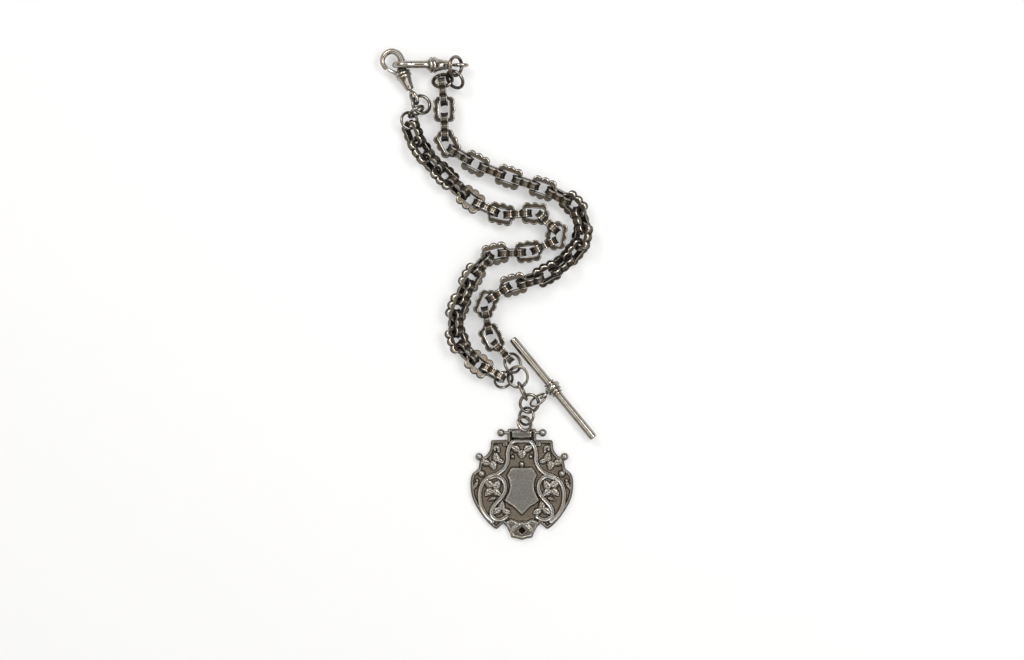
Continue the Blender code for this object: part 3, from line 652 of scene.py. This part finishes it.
def strand_frames(route, rolls, pitches, links):
    """The frame of each link, each pivoting where its end wall lies in its neighbour's slot."""
    curve = curve_through(route)
    start, ahead = curve[0].to_3d(), curve[FIRST_LOOK].to_3d()
    start.z = ahead.z = AXIS_HEIGHT
    frames = [frame_along(start, ahead - start, math.radians(along_table(rolls, 0)))]
    nearest = 0
    for number in range(1, links):
        pitch = along_table(pitches, number)
        reach, between = pitch - END_BAR, 2 * END_BAR - pitch
        here = frames[-1] @ Matrix.Translation((reach, 0, 0))
        eye = here.translation
        window = range(nearest, min(nearest + SEARCH_AHEAD, len(curve)))
        nearest = min(window, key=lambda k: (curve[k] - eye.xy).length)
        aim = curve[min(nearest + round((LOOK_AHEAD + between) / STEP), len(curve) - 1)].to_3d()
        aim.z = AXIS_HEIGHT + LEVELLING * (AXIS_HEIGHT - eye.z)
        local = here.to_3x3().transposed() @ (aim - eye).normalized()
        bend = local.angle(Vector((1, 0, 0)))
        if bend > MOST_BEND:
            local = Vector((1, 0, 0)).slerp(local, MOST_BEND / bend)
        quarter = math.pi / 2 if number % 2 else -math.pi / 2
        wish = math.radians(along_table(rolls, number)) + (math.pi / 2 if number % 2 else 0)
        twist = quarter
        for _ in range(3):
            rise = math.asin(limited(local.z / math.sin(twist), 1))
            turn = math.atan2(local.y, local.x)
            turn -= math.atan2(math.sin(rise) * math.cos(twist), math.cos(rise))
            there = (
                here @ Matrix.Rotation(turn, 4, "Z")
                @ Matrix.Translation((between, 0, 0)) @ Matrix.Rotation(twist, 4, "X")
                @ Matrix.Rotation(rise, 4, "Z")
            )
            level = frame_along(there.translation, there.col[0].xyz, wish)
            off = level.inverted() @ there
            twist = quarter + limited(twist - math.atan2(off[2][1], off[1][1]) - quarter, MOST_TWIST)
        frames.append(there @ Matrix.Translation((reach, 0, 0)))
    return frames


def strand(side, frames, singles):
    first = 0
    while first < len(frames):
        alone = first in singles or first + 1 == len(frames)
        last = first if alone else first + 1
        node = f"link_{side}_{first + 1:02d}" if alone else f"links_{side}_{first + 1:02d}_{last + 1:02d}"
        builders = [partial(link_shape, place=place) for place in frames[first : last + 1]]
        piece(f"worn_{node}", node, builders, LINK_METAL)
        first = last + 1


# Rings

def oval_wire(centre, normal, along, length, width, stations):
    """Circles of wire round an oval, at (angle, wire radius) stations."""
    normal = Vector(normal).normalized()
    u = square_to(normal, along)
    v = normal.cross(u)
    rings = []
    for a, size in stations:
        point = Vector(centre) + u * length * math.cos(a) + v * width * math.sin(a)
        forward = (v * width * math.cos(a) - u * length * math.sin(a)).normalized()
        rings.append(circle(point, forward.cross(normal), normal, size, WIRE_SIDES))
    return rings


def jump_ring(shape, centre, normal, along, length, width, wire, seam):
    """Round wire bent to a loop, its two rounded ends nearly meeting."""
    radius = (length + width) / 2
    half_gap, rounding = RING_GAP / 2 / radius, RING_END_ROUND / radius
    ends = [
        (half_gap + rounding * share, wire * math.sqrt(1 - (RING_END_FLAT * (1 - share)) ** 2))
        for share in RING_END_SHARES
    ]
    first, last = half_gap + rounding, math.tau - half_gap - rounding
    full = [(first + (last - first) * k / RING_STEPS, wire) for k in range(RING_STEPS + 1)]
    stations = [*ends, *full, *((math.tau - a, size) for a, size in reversed(ends))]
    stations = [(seam + a, size) for a, size in stations]
    skin(shape, oval_wire(centre, normal, along, length, width, stations))


def closed_ring(shape, centre, normal, along, length, width, wire, around=72):
    """A closed loop of round wire."""
    stations = [(math.tau * k / around, wire) for k in range(around)]
    skin(shape, oval_wire(centre, normal, along, length, width, stations), closed=True)


def split_ring(shape, around=72):
    """Flattened wire with rounded edges, wound nearly twice round."""
    normal = Vector(SPLIT_RING_NORMAL).normalized()
    u = normal.orthogonal().normalized()
    v = normal.cross(u)
    section = [(math.cos(math.tau * k / 16), math.sin(math.tau * k / 16)) for k in range(16)]
    section = [(math.copysign(abs(c) ** 0.55, c), math.copysign(abs(s) ** 0.75, s)) for c, s in section]
    rings = []
    total = round(SPLIT_TURNS * around)
    for k in range(total + 1):
        a = math.tau * k / around
        out = u * math.cos(a) + v * math.sin(a)
        point = Vector(SPLIT_RING_CENTRE) + out * SPLIT_RING_RADIUS
        point += normal * SPLIT_RISE * (k / around - SPLIT_TURNS / 2)
        thin = 0.8 if k in (0, total) else 1.0
        rings.append([
            point + out * i * thin * SPLIT_WIRE_WIDTH / 2 + normal * j * thin * SPLIT_WIRE_HEIGHT / 2
            for i, j in section
        ])
    skin(shape, rings)


def turned(shape, origin, axis, profile, sides=48, closed=False):
    """A body of revolution from (distance along the axis, radius) pairs."""
    axis = Vector(axis).normalized()
    across = axis.orthogonal().normalized()
    up = axis.cross(across)
    rings = [circle(Vector(origin) + axis * d, across, up, r, sides) for d, r in profile]
    skin(shape, rings, closed)


def rings():
    for number, (name, centre, normal, along, length, width, wire) in enumerate(WIRE_RINGS):
        loop = partial(
            jump_ring, centre=centre, normal=normal, along=along, length=length, width=width,
            wire=wire + (TIGHT_POLISH if name in TIGHT_RINGS else WIRE_POLISH),
            seam=SEAM_TURN * (number + 1),
        )
        piece(f"wire_{name}", name, [loop], RING_METAL)
    piece("wound_ring_joining", "ring_joining", [split_ring], RING_METAL, sharp=60)


# Swivels

def swivel_frame(collar, axis, gate_side):
    """x along the barrel towards the hook, y towards the gate."""
    x = Vector(axis).normalized()
    return placed_frame(collar, x, square_to(x, gate_side))


def hook_shape(shape, place, rear, neck):
    """The barrel round its bore, the double collar, and the hook swept to its rounded tip."""
    profile = [
        (BORE_END, BORE_RADIUS), (MOUTH_DEPTH - rear, BORE_RADIUS), (MOUTH_DEPTH - rear, MOUTH_RADIUS),
        (-rear, MOUTH_RADIUS), (-rear, BARREL_END_RADIUS - 0.12), (0.12 - rear, BARREL_END_RADIUS), *BARREL,
    ]
    stations = [(Vector((s, 0, 0)), Vector((1, 0, 0)), radius) for s, radius in profile]
    path = [(s + neck, t, radius) for s, t, radius in HOOK_PATH]
    if neck:
        path.insert(0, HOOK_PATH[0])
    swept = curve_through([NECK_START, *path], HOOK_STEPS)
    for number, (s, t, radius) in enumerate(swept):
        before, after = swept[max(number - 1, 0)], swept[min(number + 1, len(swept) - 1)]
        forward = Vector((after[0] - before[0], after[1] - before[1], 0)).normalized()
        stations.append((Vector((s, t, 0)), forward, radius))
    tip, forward, radius = stations[-1]
    for part in (0.5, 0.85, 1.0):
        shrink = math.sqrt(max(0.04, 1 - part**2))
        stations.append((tip + forward * HOOK_TIP_ROUND * part, forward, radius * shrink))
    rings = []
    for centre, forward, radius in stations:
        across = Vector((-forward.y, forward.x, 0))
        rings.append([place @ p for p in circle(centre, across, Vector((0, 0, 1)), radius, HOOK_SIDES)])
    skin(shape, rings)


def box_shape(shape, place, low, high):
    corners = ((low[0], low[1]), (high[0], low[1]), (high[0], high[1]), (low[0], high[1]))
    skin(shape, [[place @ Vector((*c, z)) for c in corners] for z in (low[2], high[2])])


def gate_shape(shape, place, nose):
    """A lever with softened edges, from its round root on the pin to the nose that meets the tip."""
    pivot = Vector(GATE_PIVOT)
    along = (nose - pivot).normalized()
    across = Vector((-along.y, along.x))
    reach = (nose - pivot).length
    half = GATE_THICKNESS / 2
    rings = []
    for level in range(GATE_LEVELS + 1):
        tilt = math.pi * (0.1 + 0.8 * level / GATE_LEVELS)
        height, inset = -half * math.cos(tilt), GATE_ROUND * (1 - math.sin(tilt))
        root, tip = GATE_ROOT_RADIUS - inset, GATE_WIDTH / 2 - inset
        outline = []
        for k in range(GATE_ROOT_STEPS + 1):
            a = math.pi / 2 + math.pi * k / GATE_ROOT_STEPS
            outline.append(pivot + root * (along * math.cos(a) + across * math.sin(a)))
        for k in range(GATE_TIP_STEPS + 1):
            a = -math.pi / 2 + math.pi * k / GATE_TIP_STEPS
            centre = pivot + along * (reach - GATE_WIDTH / 4)
            outline.append(centre + tip * (along * math.cos(a) * 0.9 + across * math.sin(a)))
        rings.append([place @ Vector((*p, height)) for p in outline])
    skin(shape, rings)


def spring_shape(shape, place):
    """A thin leaf, bowed between its two ends."""
    rings = []
    for k in range(SPRING_STEPS + 1):
        t = k / SPRING_STEPS
        x = SPRING_FROM[0] + (SPRING_TO[0] - SPRING_FROM[0]) * t
        y = SPRING_FROM[1] + SPRING_BOW * math.sin(math.pi * t) - SPRING_BOW / 2
        section = []
        for a in range(SPRING_SIDES):
            c, s = math.cos(math.tau * a / SPRING_SIDES), math.sin(math.tau * a / SPRING_SIDES)
            wide = math.copysign(abs(c) ** 0.4, c) * SPRING_HALF_WIDTH
            thick = math.copysign(abs(s) ** 0.6, s) * SPRING_HALF_THICKNESS
            section.append(place @ Vector((x, y + thick, wide)))
        rings.append(section)
    skin(shape, rings)


def swivel(side, collar, axis, gate_side, rear, neck, eye_distance, eye_roll, overreach):
    place = swivel_frame(collar, axis, gate_side)
    turn = place.to_3x3()
    across = turn @ Vector((0, 0, 1))
    pivot = place @ Vector((*GATE_PIVOT, 0))
    slot = partial(box_shape, place=place, low=SLOT_LOW, high=SLOT_HIGH)
    drilled = ((-COLLAR_RADIUS * 2, PIN_HOLE), (COLLAR_RADIUS * 2, PIN_HOLE))
    drill = partial(turned, origin=pivot, axis=across, profile=drilled, sides=32)
    hook = partial(hook_shape, place=place, rear=rear, neck=neck)
    piece(f"swivel_{side}_dog_hook", f"swivel_{side}_hook", [hook], FITTING_METAL, cutters=[slot, drill])

    nose = Vector((GATE_NOSE[0] + neck, GATE_NOSE[1]))
    nose += (nose - Vector(GATE_PIVOT)).normalized() * overreach
    gate = partial(gate_shape, place=place, nose=nose)
    piece(f"swivel_{side}_thumb_gate", f"swivel_{side}_gate", [gate], GATE_METAL, cutters=[drill])
    end = PIN_HALF_LENGTH
    ends = ((-end, 0.16), (0.05 - end, PIN_RADIUS - 0.05), (0.14 - end, PIN_RADIUS))
    ends += tuple((-d, r) for d, r in reversed(ends))
    rivet = partial(turned, origin=pivot, axis=across, profile=ends, sides=24)
    piece(f"swivel_{side}_rivet", f"swivel_{side}_pin", [rivet], STEEL)
    leaf = partial(spring_shape, place=place)
    piece(f"swivel_{side}_leaf_spring", f"swivel_{side}_spring", [leaf], STEEL)

    head = MOUTH_DEPTH + STEM_GAP - rear
    start = EYE_HALF_LENGTH - eye_distance
    stem = (
        (start, STEM_RADIUS + 0.12), (start + 0.35, STEM_RADIUS), (head, STEM_RADIUS),
        (head, STEM_HEAD - 0.1),
        (head + 0.1, STEM_HEAD), (head + STEM_HEAD_LENGTH - 0.1, STEM_HEAD),
        (head + STEM_HEAD_LENGTH, STEM_HEAD - 0.1),
    )
    loop = partial(
        closed_ring, centre=place @ Vector((-eye_distance, 0, 0)),
        normal=turn @ Vector((0, math.sin(eye_roll), math.cos(eye_roll))), along=axis,
        length=EYE_HALF_LENGTH, width=EYE_HALF_WIDTH, wire=EYE_WIRE,
    )
    joined = [partial(turned, origin=collar, axis=axis, profile=stem, sides=32)]
    piece(f"swivel_{side}_loop", f"swivel_{side}_eye", [loop], FITTING_METAL, joined=joined)


# T-bar

def toggle():
    centre, axis = Vector(TBAR_CENTRE), Vector(TBAR_AXIS).normalized()
    half = TBAR_LENGTH / 2
    profile = [(d - half, radius) for d, radius in TBAR_END]
    profile += [(-d, radius) for d, radius in TBAR_SHOULDER]
    profile += [(-d, radius) for d, radius in reversed(profile)]
    bar = partial(turned, origin=centre, axis=axis, profile=profile, sides=64)
    piece("turned_tbar", "tbar", [bar], FITTING_METAL)
    outside = [(-TBAR_COLLAR_HALF, TBAR_COLLAR_WAIST)]
    for middle, length, radius in TBAR_BEADS:
        for k in range(TBAR_BEAD_STEPS + 1):
            a = math.pi * k / TBAR_BEAD_STEPS
            swell = TBAR_COLLAR_WAIST + (radius - TBAR_COLLAR_WAIST) * math.sin(a)
            outside.append((middle - length * math.cos(a), swell))
    outside.append((TBAR_COLLAR_HALF, TBAR_COLLAR_WAIST))
    profile = [(-TBAR_COLLAR_HALF, TBAR_COLLAR_BORE), *outside, (TBAR_COLLAR_HALF, TBAR_COLLAR_BORE)]
    ring = partial(turned, origin=centre, axis=axis, profile=profile, sides=64, closed=True)
    side = axis.cross(Vector((0, 0, 1))).normalized()
    eye = partial(
        closed_ring, centre=centre + side * TBAR_EYE_DISTANCE, normal=axis, along=(0, 0, 1),
        length=TBAR_EYE_RADIUS, width=TBAR_EYE_RADIUS, wire=TBAR_EYE_WIRE,
    )
    piece("ribbed_tbar_collar", "tbar_collar", [ring], FITTING_METAL, joined=[eye])


# Fob

def mirrored(half):
    """A symmetrical outline from its right half, clockwise from the top."""
    return list(half) + [(-x, y) for x, y in reversed(half) if x > 0]


def reach_of(outline, angles):
    """How far the outline lies from its middle in each direction, clockwise from the top."""
    points = np.array(outline, float)
    nexts = np.roll(points, -1, axis=0)
    best = np.zeros(len(angles))
    ray = np.stack([np.sin(angles), np.cos(angles)], 1)
    for a, b in zip(points, nexts):
        edge = b - a
        cross = ray[:, 0] * edge[1] - ray[:, 1] * edge[0]
        safe = np.where(abs(cross) < 1e-9, 1e-9, cross)
        along = (a[0] * edge[1] - a[1] * edge[0]) / safe
        share = (a[0] * ray[:, 1] - a[1] * ray[:, 0]) / safe
        hit = (share >= -1e-6) & (share <= 1 + 1e-6) & (along > 0)
        best = np.where(hit, np.maximum(best, along), best)
    return best


def distance_to(points, path, closed=False):
    """How far each point is from a line of straight pieces."""
    path = np.array(path, float)
    ends = np.roll(path, -1, axis=0) if closed else path[1:]
    best = np.full(len(points), np.inf)
    for a, b in zip(path, ends):
        edge = b - a
        share = np.clip(((points - a) @ edge) / max(edge @ edge, 1e-9), 0, 1)
        best = np.minimum(best, np.linalg.norm(points - a - share[:, None] * edge, axis=1))
    return best


def smoothstep(value, low, high):
    t = np.clip((value - low) / (high - low), 0, 1)
    return t * t * (3 - 2 * t)


def band_height(distance, top, half):
    """A raised strap with a shallow groove between its two edges."""
    crown = top - BAND_GROOVE * smoothstep(half * 0.6 - distance, 0, half * 0.5)
    return FIELD + (crown - FIELD) * (1 - smoothstep(distance, half * 0.8, half * 1.25))


def leaf_height(points, leaf):
    """A pointed leaf, domed and creased down its middle."""
    x, y, heading, half, wide = leaf
    turn = math.radians(heading)
    away = points - (x, y)
    along = (away[:, 0] * math.cos(turn) + away[:, 1] * math.sin(turn)) / half
    side = abs(-away[:, 0] * math.sin(turn) + away[:, 1] * math.cos(turn)) / wide
    edge = np.clip(1 - along**2, 0, 1) ** 0.6 * (1 - 0.25 * along)
    inside = np.clip(1 - (side / np.maximum(edge, 1e-3)) ** 2, 0, 1) * (abs(along) < 1)
    crease = 0.22 * (1 - smoothstep(side, 0.0, 0.22))
    veins = 0.03 * np.sin(12 * along + 7 * side)
    return FIELD + (LEAF_TOP - FIELD) * inside**0.45 - (crease + veins) * (inside > 0)


def fob_heights(points, from_edge, in_shield, from_shield):
    """The height of the embossed face, from its field up to the crest."""
    half = np.abs(points) * (1, 0) + points * (0, 1)
    stipple = np.array([noise.noise(Vector((STIPPLE[0] * x, STIPPLE[0] * y, 0))) for x, y in points])
    height = FIELD + STIPPLE[1] * stipple
    large = [(path, BAND_TOP, BAND_HALF_WIDTH) for path in (ARCH_BAND, SCROLL_BAND)]
    small = [(path, SMALL_BAND_TOP, SMALL_BAND_HALF_WIDTH) for path in (SMALL_SCROLL, *FOOT_BANDS)]
    for path, top, width in large + small:
        smooth = [tuple(p) for p in curve_through(path, 5)]
        height = np.maximum(height, band_height(distance_to(half, smooth), top, width))
    for leaf in LEAVES:
        height = np.maximum(height, leaf_height(half, leaf))
    for x, y, radius, top in BOSSES:
        away = np.linalg.norm(half - (x, y), axis=1) / radius
        height = np.maximum(height, FIELD + (top - FIELD) * np.sqrt(np.clip(1 - away**2, 0, 1)))
    x, y, size, top = SQUARE
    away = np.abs(half - (x, y)).max(axis=1)
    height = np.maximum(height, FIELD + (top - FIELD) * (1 - smoothstep(away, size * 0.7, size)))
    rim = RIM_TOP - 0.25 * smoothstep(np.abs(from_edge - 0.62), 0.0, 0.25) * (from_edge < 0.62)
    rim = FIELD + (rim - FIELD) * (1 - smoothstep(from_edge, RIM_WIDTH * 0.75, RIM_WIDTH * 1.15))
    height = np.maximum(height, rim)
    foot = (half[:, 1] < -11.6) & (half[:, 0] < 5.2)
    swollen = FIELD + 0.55 * smoothstep(half[:, 1], -11.6, -13.4)
    height = np.where(foot, np.maximum(height, swollen), height)
    diamond = np.abs(half - DIAMOND[:2]).sum(axis=1)
    height -= 0.9 * (1 - smoothstep(diamond, DIAMOND[2] * 0.85, DIAMOND[2] * 1.1))
    raised = smoothstep(np.where(in_shield, from_shield, -from_shield), -0.05, 0.35)
    lip = 0.05 * smoothstep(from_shield, 0.9, 0.35) * smoothstep(from_shield, 0.1, 0.35)
    height = height * (1 - raised) + (SHIELD_TOP + lip) * raised
    crest = distance_to(half, FOB_CREST)
    in_crest = (half[:, 1] > 13.95) & (half[:, 0] < 3.45) & (half[:, 1] < 16.9)
    swell = smoothstep(np.where(in_crest, crest, -crest), -0.05, 0.5)
    slope = CREST_TOP - 0.12 * (half[:, 1] - 15.4) ** 2 * 0.5
    height = height * (1 - swell) + slope * swell
    line = np.abs(half[:, 1] - 13.75)
    height -= 0.35 * (1 - smoothstep(line, 0.05, 0.3)) * (half[:, 0] < 3.2)
    fall = np.sqrt(np.clip(1 - (1 - np.clip(from_edge / 0.35, 0, 1)) ** 2, 0, 1))
    return np.maximum(height, 0.9) * (0.72 + 0.28 * fall)


def slopes_of(heights, count):
    """How steeply the face falls at each point of its rings, per ring and per spoke together."""
    rows = heights[:-1].reshape(-1, count)
    outward = np.abs(np.gradient(rows, axis=0)) / RING_SPACING
    around = np.abs(np.roll(rows, -1, 1) - np.roll(rows, 1, 1)) / SPOKE_SPACING
    return np.append(np.maximum(outward, around).ravel(), 0.0)


def fob_face():
    """The embossed plate: rings of points out to its scalloped outline, a wall, and a flat back."""
    curved = [[tuple(p) for p in curve_through(run, 4)] for run in (FOB_SHOULDER, FOB_SIDE, FOB_FLANK)]
    outline = mirrored([*FOB_HEAD, *curved[0], *curved[1], *curved[2], *FOB_FOOT])
    corners = [math.atan2(x, y) % math.tau for x, y in outline]
    even = [math.tau * k / FOB_SPOKES for k in range(FOB_SPOKES)]
    close = math.tau / FOB_SPOKES * 0.3
    kept = [a for a in even if min(abs(a - c) for c in corners) > close]
    angles = np.array(sorted(kept + corners))
    reach = reach_of(outline, angles)
    shares = np.array([k / FOB_CIRCLES for k in range(1, FOB_CIRCLES + 1)])
    ray = np.stack([np.sin(angles), np.cos(angles)], 1)
    points = (shares[:, None, None] * reach[None, :, None] * ray[None]).reshape(-1, 2)
    points = np.vstack([points, [[0.0, 0.0]]])
    shield = mirrored(FOB_SHIELD)
    away = np.linalg.norm(points, axis=1)
    facing = np.arctan2(points[:, 0], points[:, 1]) % math.tau
    in_shield = away < reach_of(shield, facing)
    from_shield = distance_to(points, shield, True)
    heights = fob_heights(points, distance_to(points, outline, True), in_shield, from_shield)
    count = len(angles)
    grid = np.column_stack([points + FOB_MIDDLE, heights])
    rim = grid[(FOB_CIRCLES - 1) * count : FOB_CIRCLES * count].copy()
    depth = (rim[:, 2] - FOB_BACK)[:, None]
    levels = []
    for share, lift, inward in FOB_WALL:
        flat = (rim[:, :2] - FOB_MIDDLE) * inward + FOB_MIDDLE
        levels.append(np.hstack([flat, FOB_BACK + depth * share + lift]))
    rows = np.vstack([grid, *levels, [[*FOB_MIDDLE, FOB_BACK + FOB_HOLLOW]]])
    faces = []
    middle = FOB_CIRCLES * count
    starts = [k * count for k in range(FOB_CIRCLES)]
    starts += [middle + 1 + k * count for k in range(len(FOB_WALL))]
    for here, there in zip(starts, starts[1:]):
        for k in range(count):
            after = (k + 1) % count
            faces.append((here + k, there + k, there + after, here + after))
    for k in range(count):
        after = (k + 1) % count
        faces.append((middle, k, after))
        faces.append((starts[-1] + k, len(rows) - 1, starts[-1] + after))
    mesh = bpy.data.meshes.new("relief")
    mesh.from_pydata([tuple(p) for p in rows], [], faces)
    tops = np.full(len(rows), 2.0)
    tops[: len(heights)] = heights
    tarnish_and_painted_light = 0.62 * (1 - smoothstep(tops, FIELD + 0.05, FIELD + 0.75))
    tarnish_and_painted_light += 0.36 * (1 - smoothstep(tops, 2.17, 2.36))
    face = tarnish_and_painted_light[: len(heights)]
    slopes = slopes_of(heights, count)
    # Painted highlight: steep slopes of the raised work are made lighter, partly standing for wear on them
    crest_highlights = smoothstep(slopes, 0.35, 0.9) * smoothstep(heights, FIELD + 0.45, FIELD + 0.8)
    crest_highlights *= 1 - 0.8 * (from_shield < 0.9)
    face -= 0.6 * crest_highlights
    feet = smoothstep(slopes, 0.3, 0.8) * (1 - smoothstep(heights, FIELD + 0.25, FIELD + 0.55))
    face += 0.6 * feet
    face -= 0.4 * in_shield * smoothstep(from_shield, 0.3, 0.7)
    pit = np.abs(np.abs(points) * (1, 0) + points * (0, 1) - DIAMOND[:2]).sum(axis=1)
    face += 1.2 * (1 - smoothstep(pit, DIAMOND[2], DIAMOND[2] * 1.15))
    recess = mesh.attributes.new("recess", "FLOAT", "POINT")
    recess.data.foreach_set("value", tarnish_and_painted_light.astype(np.float32))
    mesh.validate()
    shape = bmesh.new()
    shape.from_mesh(mesh)
    bpy.data.meshes.remove(mesh)
    made = finished("embossed_fob", shape, FOB_METAL, 60)
    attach(made, BODY_OF["fob"])
    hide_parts("fob")


def ball_shape(shape, centre, radius, sides=32):
    angles = [math.pi * k / 18 for k in range(1, 18)]
    profile = [(-radius * math.cos(a), radius * math.sin(a)) for a in angles]
    turned(shape, centre, (0, 0, 1), profile, sides)


def fob_fittings():
    """The four knobs on their stalks, and the ring that the fob hangs from."""
    shape = new_shape()
    for knob, (start, end) in zip(FOB_BALLS, FOB_ARMS):
        for side in (-1, 1):
            centre, inner, outer = (
                Vector((FOB_MIDDLE[0] + side * x, FOB_MIDDLE[1] + y, FOB_BALL_HEIGHT))
                for x, y in (knob, start, end)
            )
            ball_shape(shape, centre, FOB_BALL_RADIUS)
            length = (outer - inner).length
            waist = ((0, FOB_ARM_RADIUS), (length * 0.5, FOB_ARM_RADIUS * 0.85), (length, FOB_ARM_RADIUS))
            turned(shape, inner, outer - inner, waist, 24)
    knobs = finished("fob_knobs", shape, FOB_METAL, 40)
    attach(knobs, BODY_OF["fob"])
    shape = new_shape()
    radius = FOB_EYE_RADIUS
    closed_ring(shape, FOB_EYE_CENTRE, FOB_EYE_NORMAL, (1, 0, 0), radius, radius, FOB_EYE_WIRE)
    ring = finished("fob_hanging_ring", shape, FITTING_METAL, 40)
    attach(ring, BODY_OF["fob"])


# Studio

def floor():
    mesh = bpy.data.meshes.new("floor")
    corners = [(x * FLOOR_HALF, y * FLOOR_HALF, 0) for x, y in ((-1, -1), (1, -1), (1, 1), (-1, 1))]
    mesh.from_pydata(corners, [], [(0, 1, 2, 3)])
    paper = bpy.data.materials.new("paper")
    graph = Graph(paper)
    shade = graph.mix(graph.noise(0.05, 3.0), (0.44, 0.44, 0.437), (0.45, 0.45, 0.45))
    graph.plug(graph.shader.inputs["Base Color"], shade)
    graph.shader.inputs["Roughness"].default_value = 0.9
    graph.shader.inputs["Emission Color"].default_value = (1, 1, 1, 1)
    graph.shader.inputs["Emission Strength"].default_value = TABLE_GLOW
    mesh.materials.append(paper)
    made = added("floor", mesh)


def sky():
    """A tent that is dark overhead, bright in a ring of panels round that, and brightest to one side."""
    world = bpy.data.worlds.new("studio")
    bpy.context.scene.world = world
    world.use_nodes = True
    tree = world.node_tree
    coords = tree.nodes.new("ShaderNodeTexCoord")
    split = tree.nodes.new("ShaderNodeSeparateXYZ")
    ramp = tree.nodes.new("ShaderNodeValToRGB")
    tree.links.new(coords.outputs["Generated"], split.inputs[0])
    tree.links.new(split.outputs["Z"], ramp.inputs[0])
    stops = ramp.color_ramp.elements
    stops[0].position, stops[0].color = SKY[0][0], (*SKY[0][1], 1)
    stops[1].position, stops[1].color = SKY[-1][0], (*SKY[-1][1], 1)
    for position, colour in SKY[1:-1]:
        stops.new(position).color = (*colour, 1)
    lean = tree.nodes.new("ShaderNodeVectorMath")
    lean.operation = "DOT_PRODUCT"
    tree.links.new(coords.outputs["Generated"], lean.inputs[0])
    lean.inputs[1].default_value = SKY_LEAN
    strength = tree.nodes.new("ShaderNodeMath")
    strength.operation = "ADD"
    strength.inputs[1].default_value = SKY_STRENGTH
    tree.links.new(lean.outputs["Value"], strength.inputs[0])
    tree.links.new(ramp.outputs[0], tree.nodes["Background"].inputs["Color"])
    tree.links.new(strength.outputs[0], tree.nodes["Background"].inputs["Strength"])


def lamp(name, place, size, power):
    light = bpy.data.lights.new(name, "AREA")
    light.size = size
    light.energy = power
    made = added(name, light)
    made.location = place
    made.rotation_euler = (-Vector(place)).to_track_quat("-Z", "Y").to_euler()


def camera():
    lens = bpy.data.cameras.new("camera")
    lens.sensor_width = SENSOR
    lens.lens = SENSOR * CAMERA_DISTANCE / VIEW_WIDTH
    lens.clip_start = 0.01
    made = added("camera", lens)
    made.location = (*VIEW_MIDDLE, CAMERA_DISTANCE + CHAIN_HEIGHT)
    bpy.context.scene.camera = made


strand("left", strand_frames(LEFT_ROUTE, LEFT_ROLL, LEFT_PITCH, LEFT_LINKS), LEFT_SINGLES)
strand("right", strand_frames(RIGHT_ROUTE, RIGHT_ROLL, RIGHT_PITCH, RIGHT_LINKS), RIGHT_SINGLES)
rings()
swivel("left", **LEFT_SWIVEL)
swivel("right", **RIGHT_SWIVEL)
toggle()
fob_face()
fob_fittings()
floor()
sky()
lamp("key", (-0.25, 0.35, 0.5), 0.2, 1.2)
lamp("fill", (0.4, -0.2, 0.45), 0.35, 0.5)
lamp("strip", (0.24, 0.125, 0.5), 0.2, 1.2)
camera()
bpy.context.scene.view_settings.view_transform = "Standard"
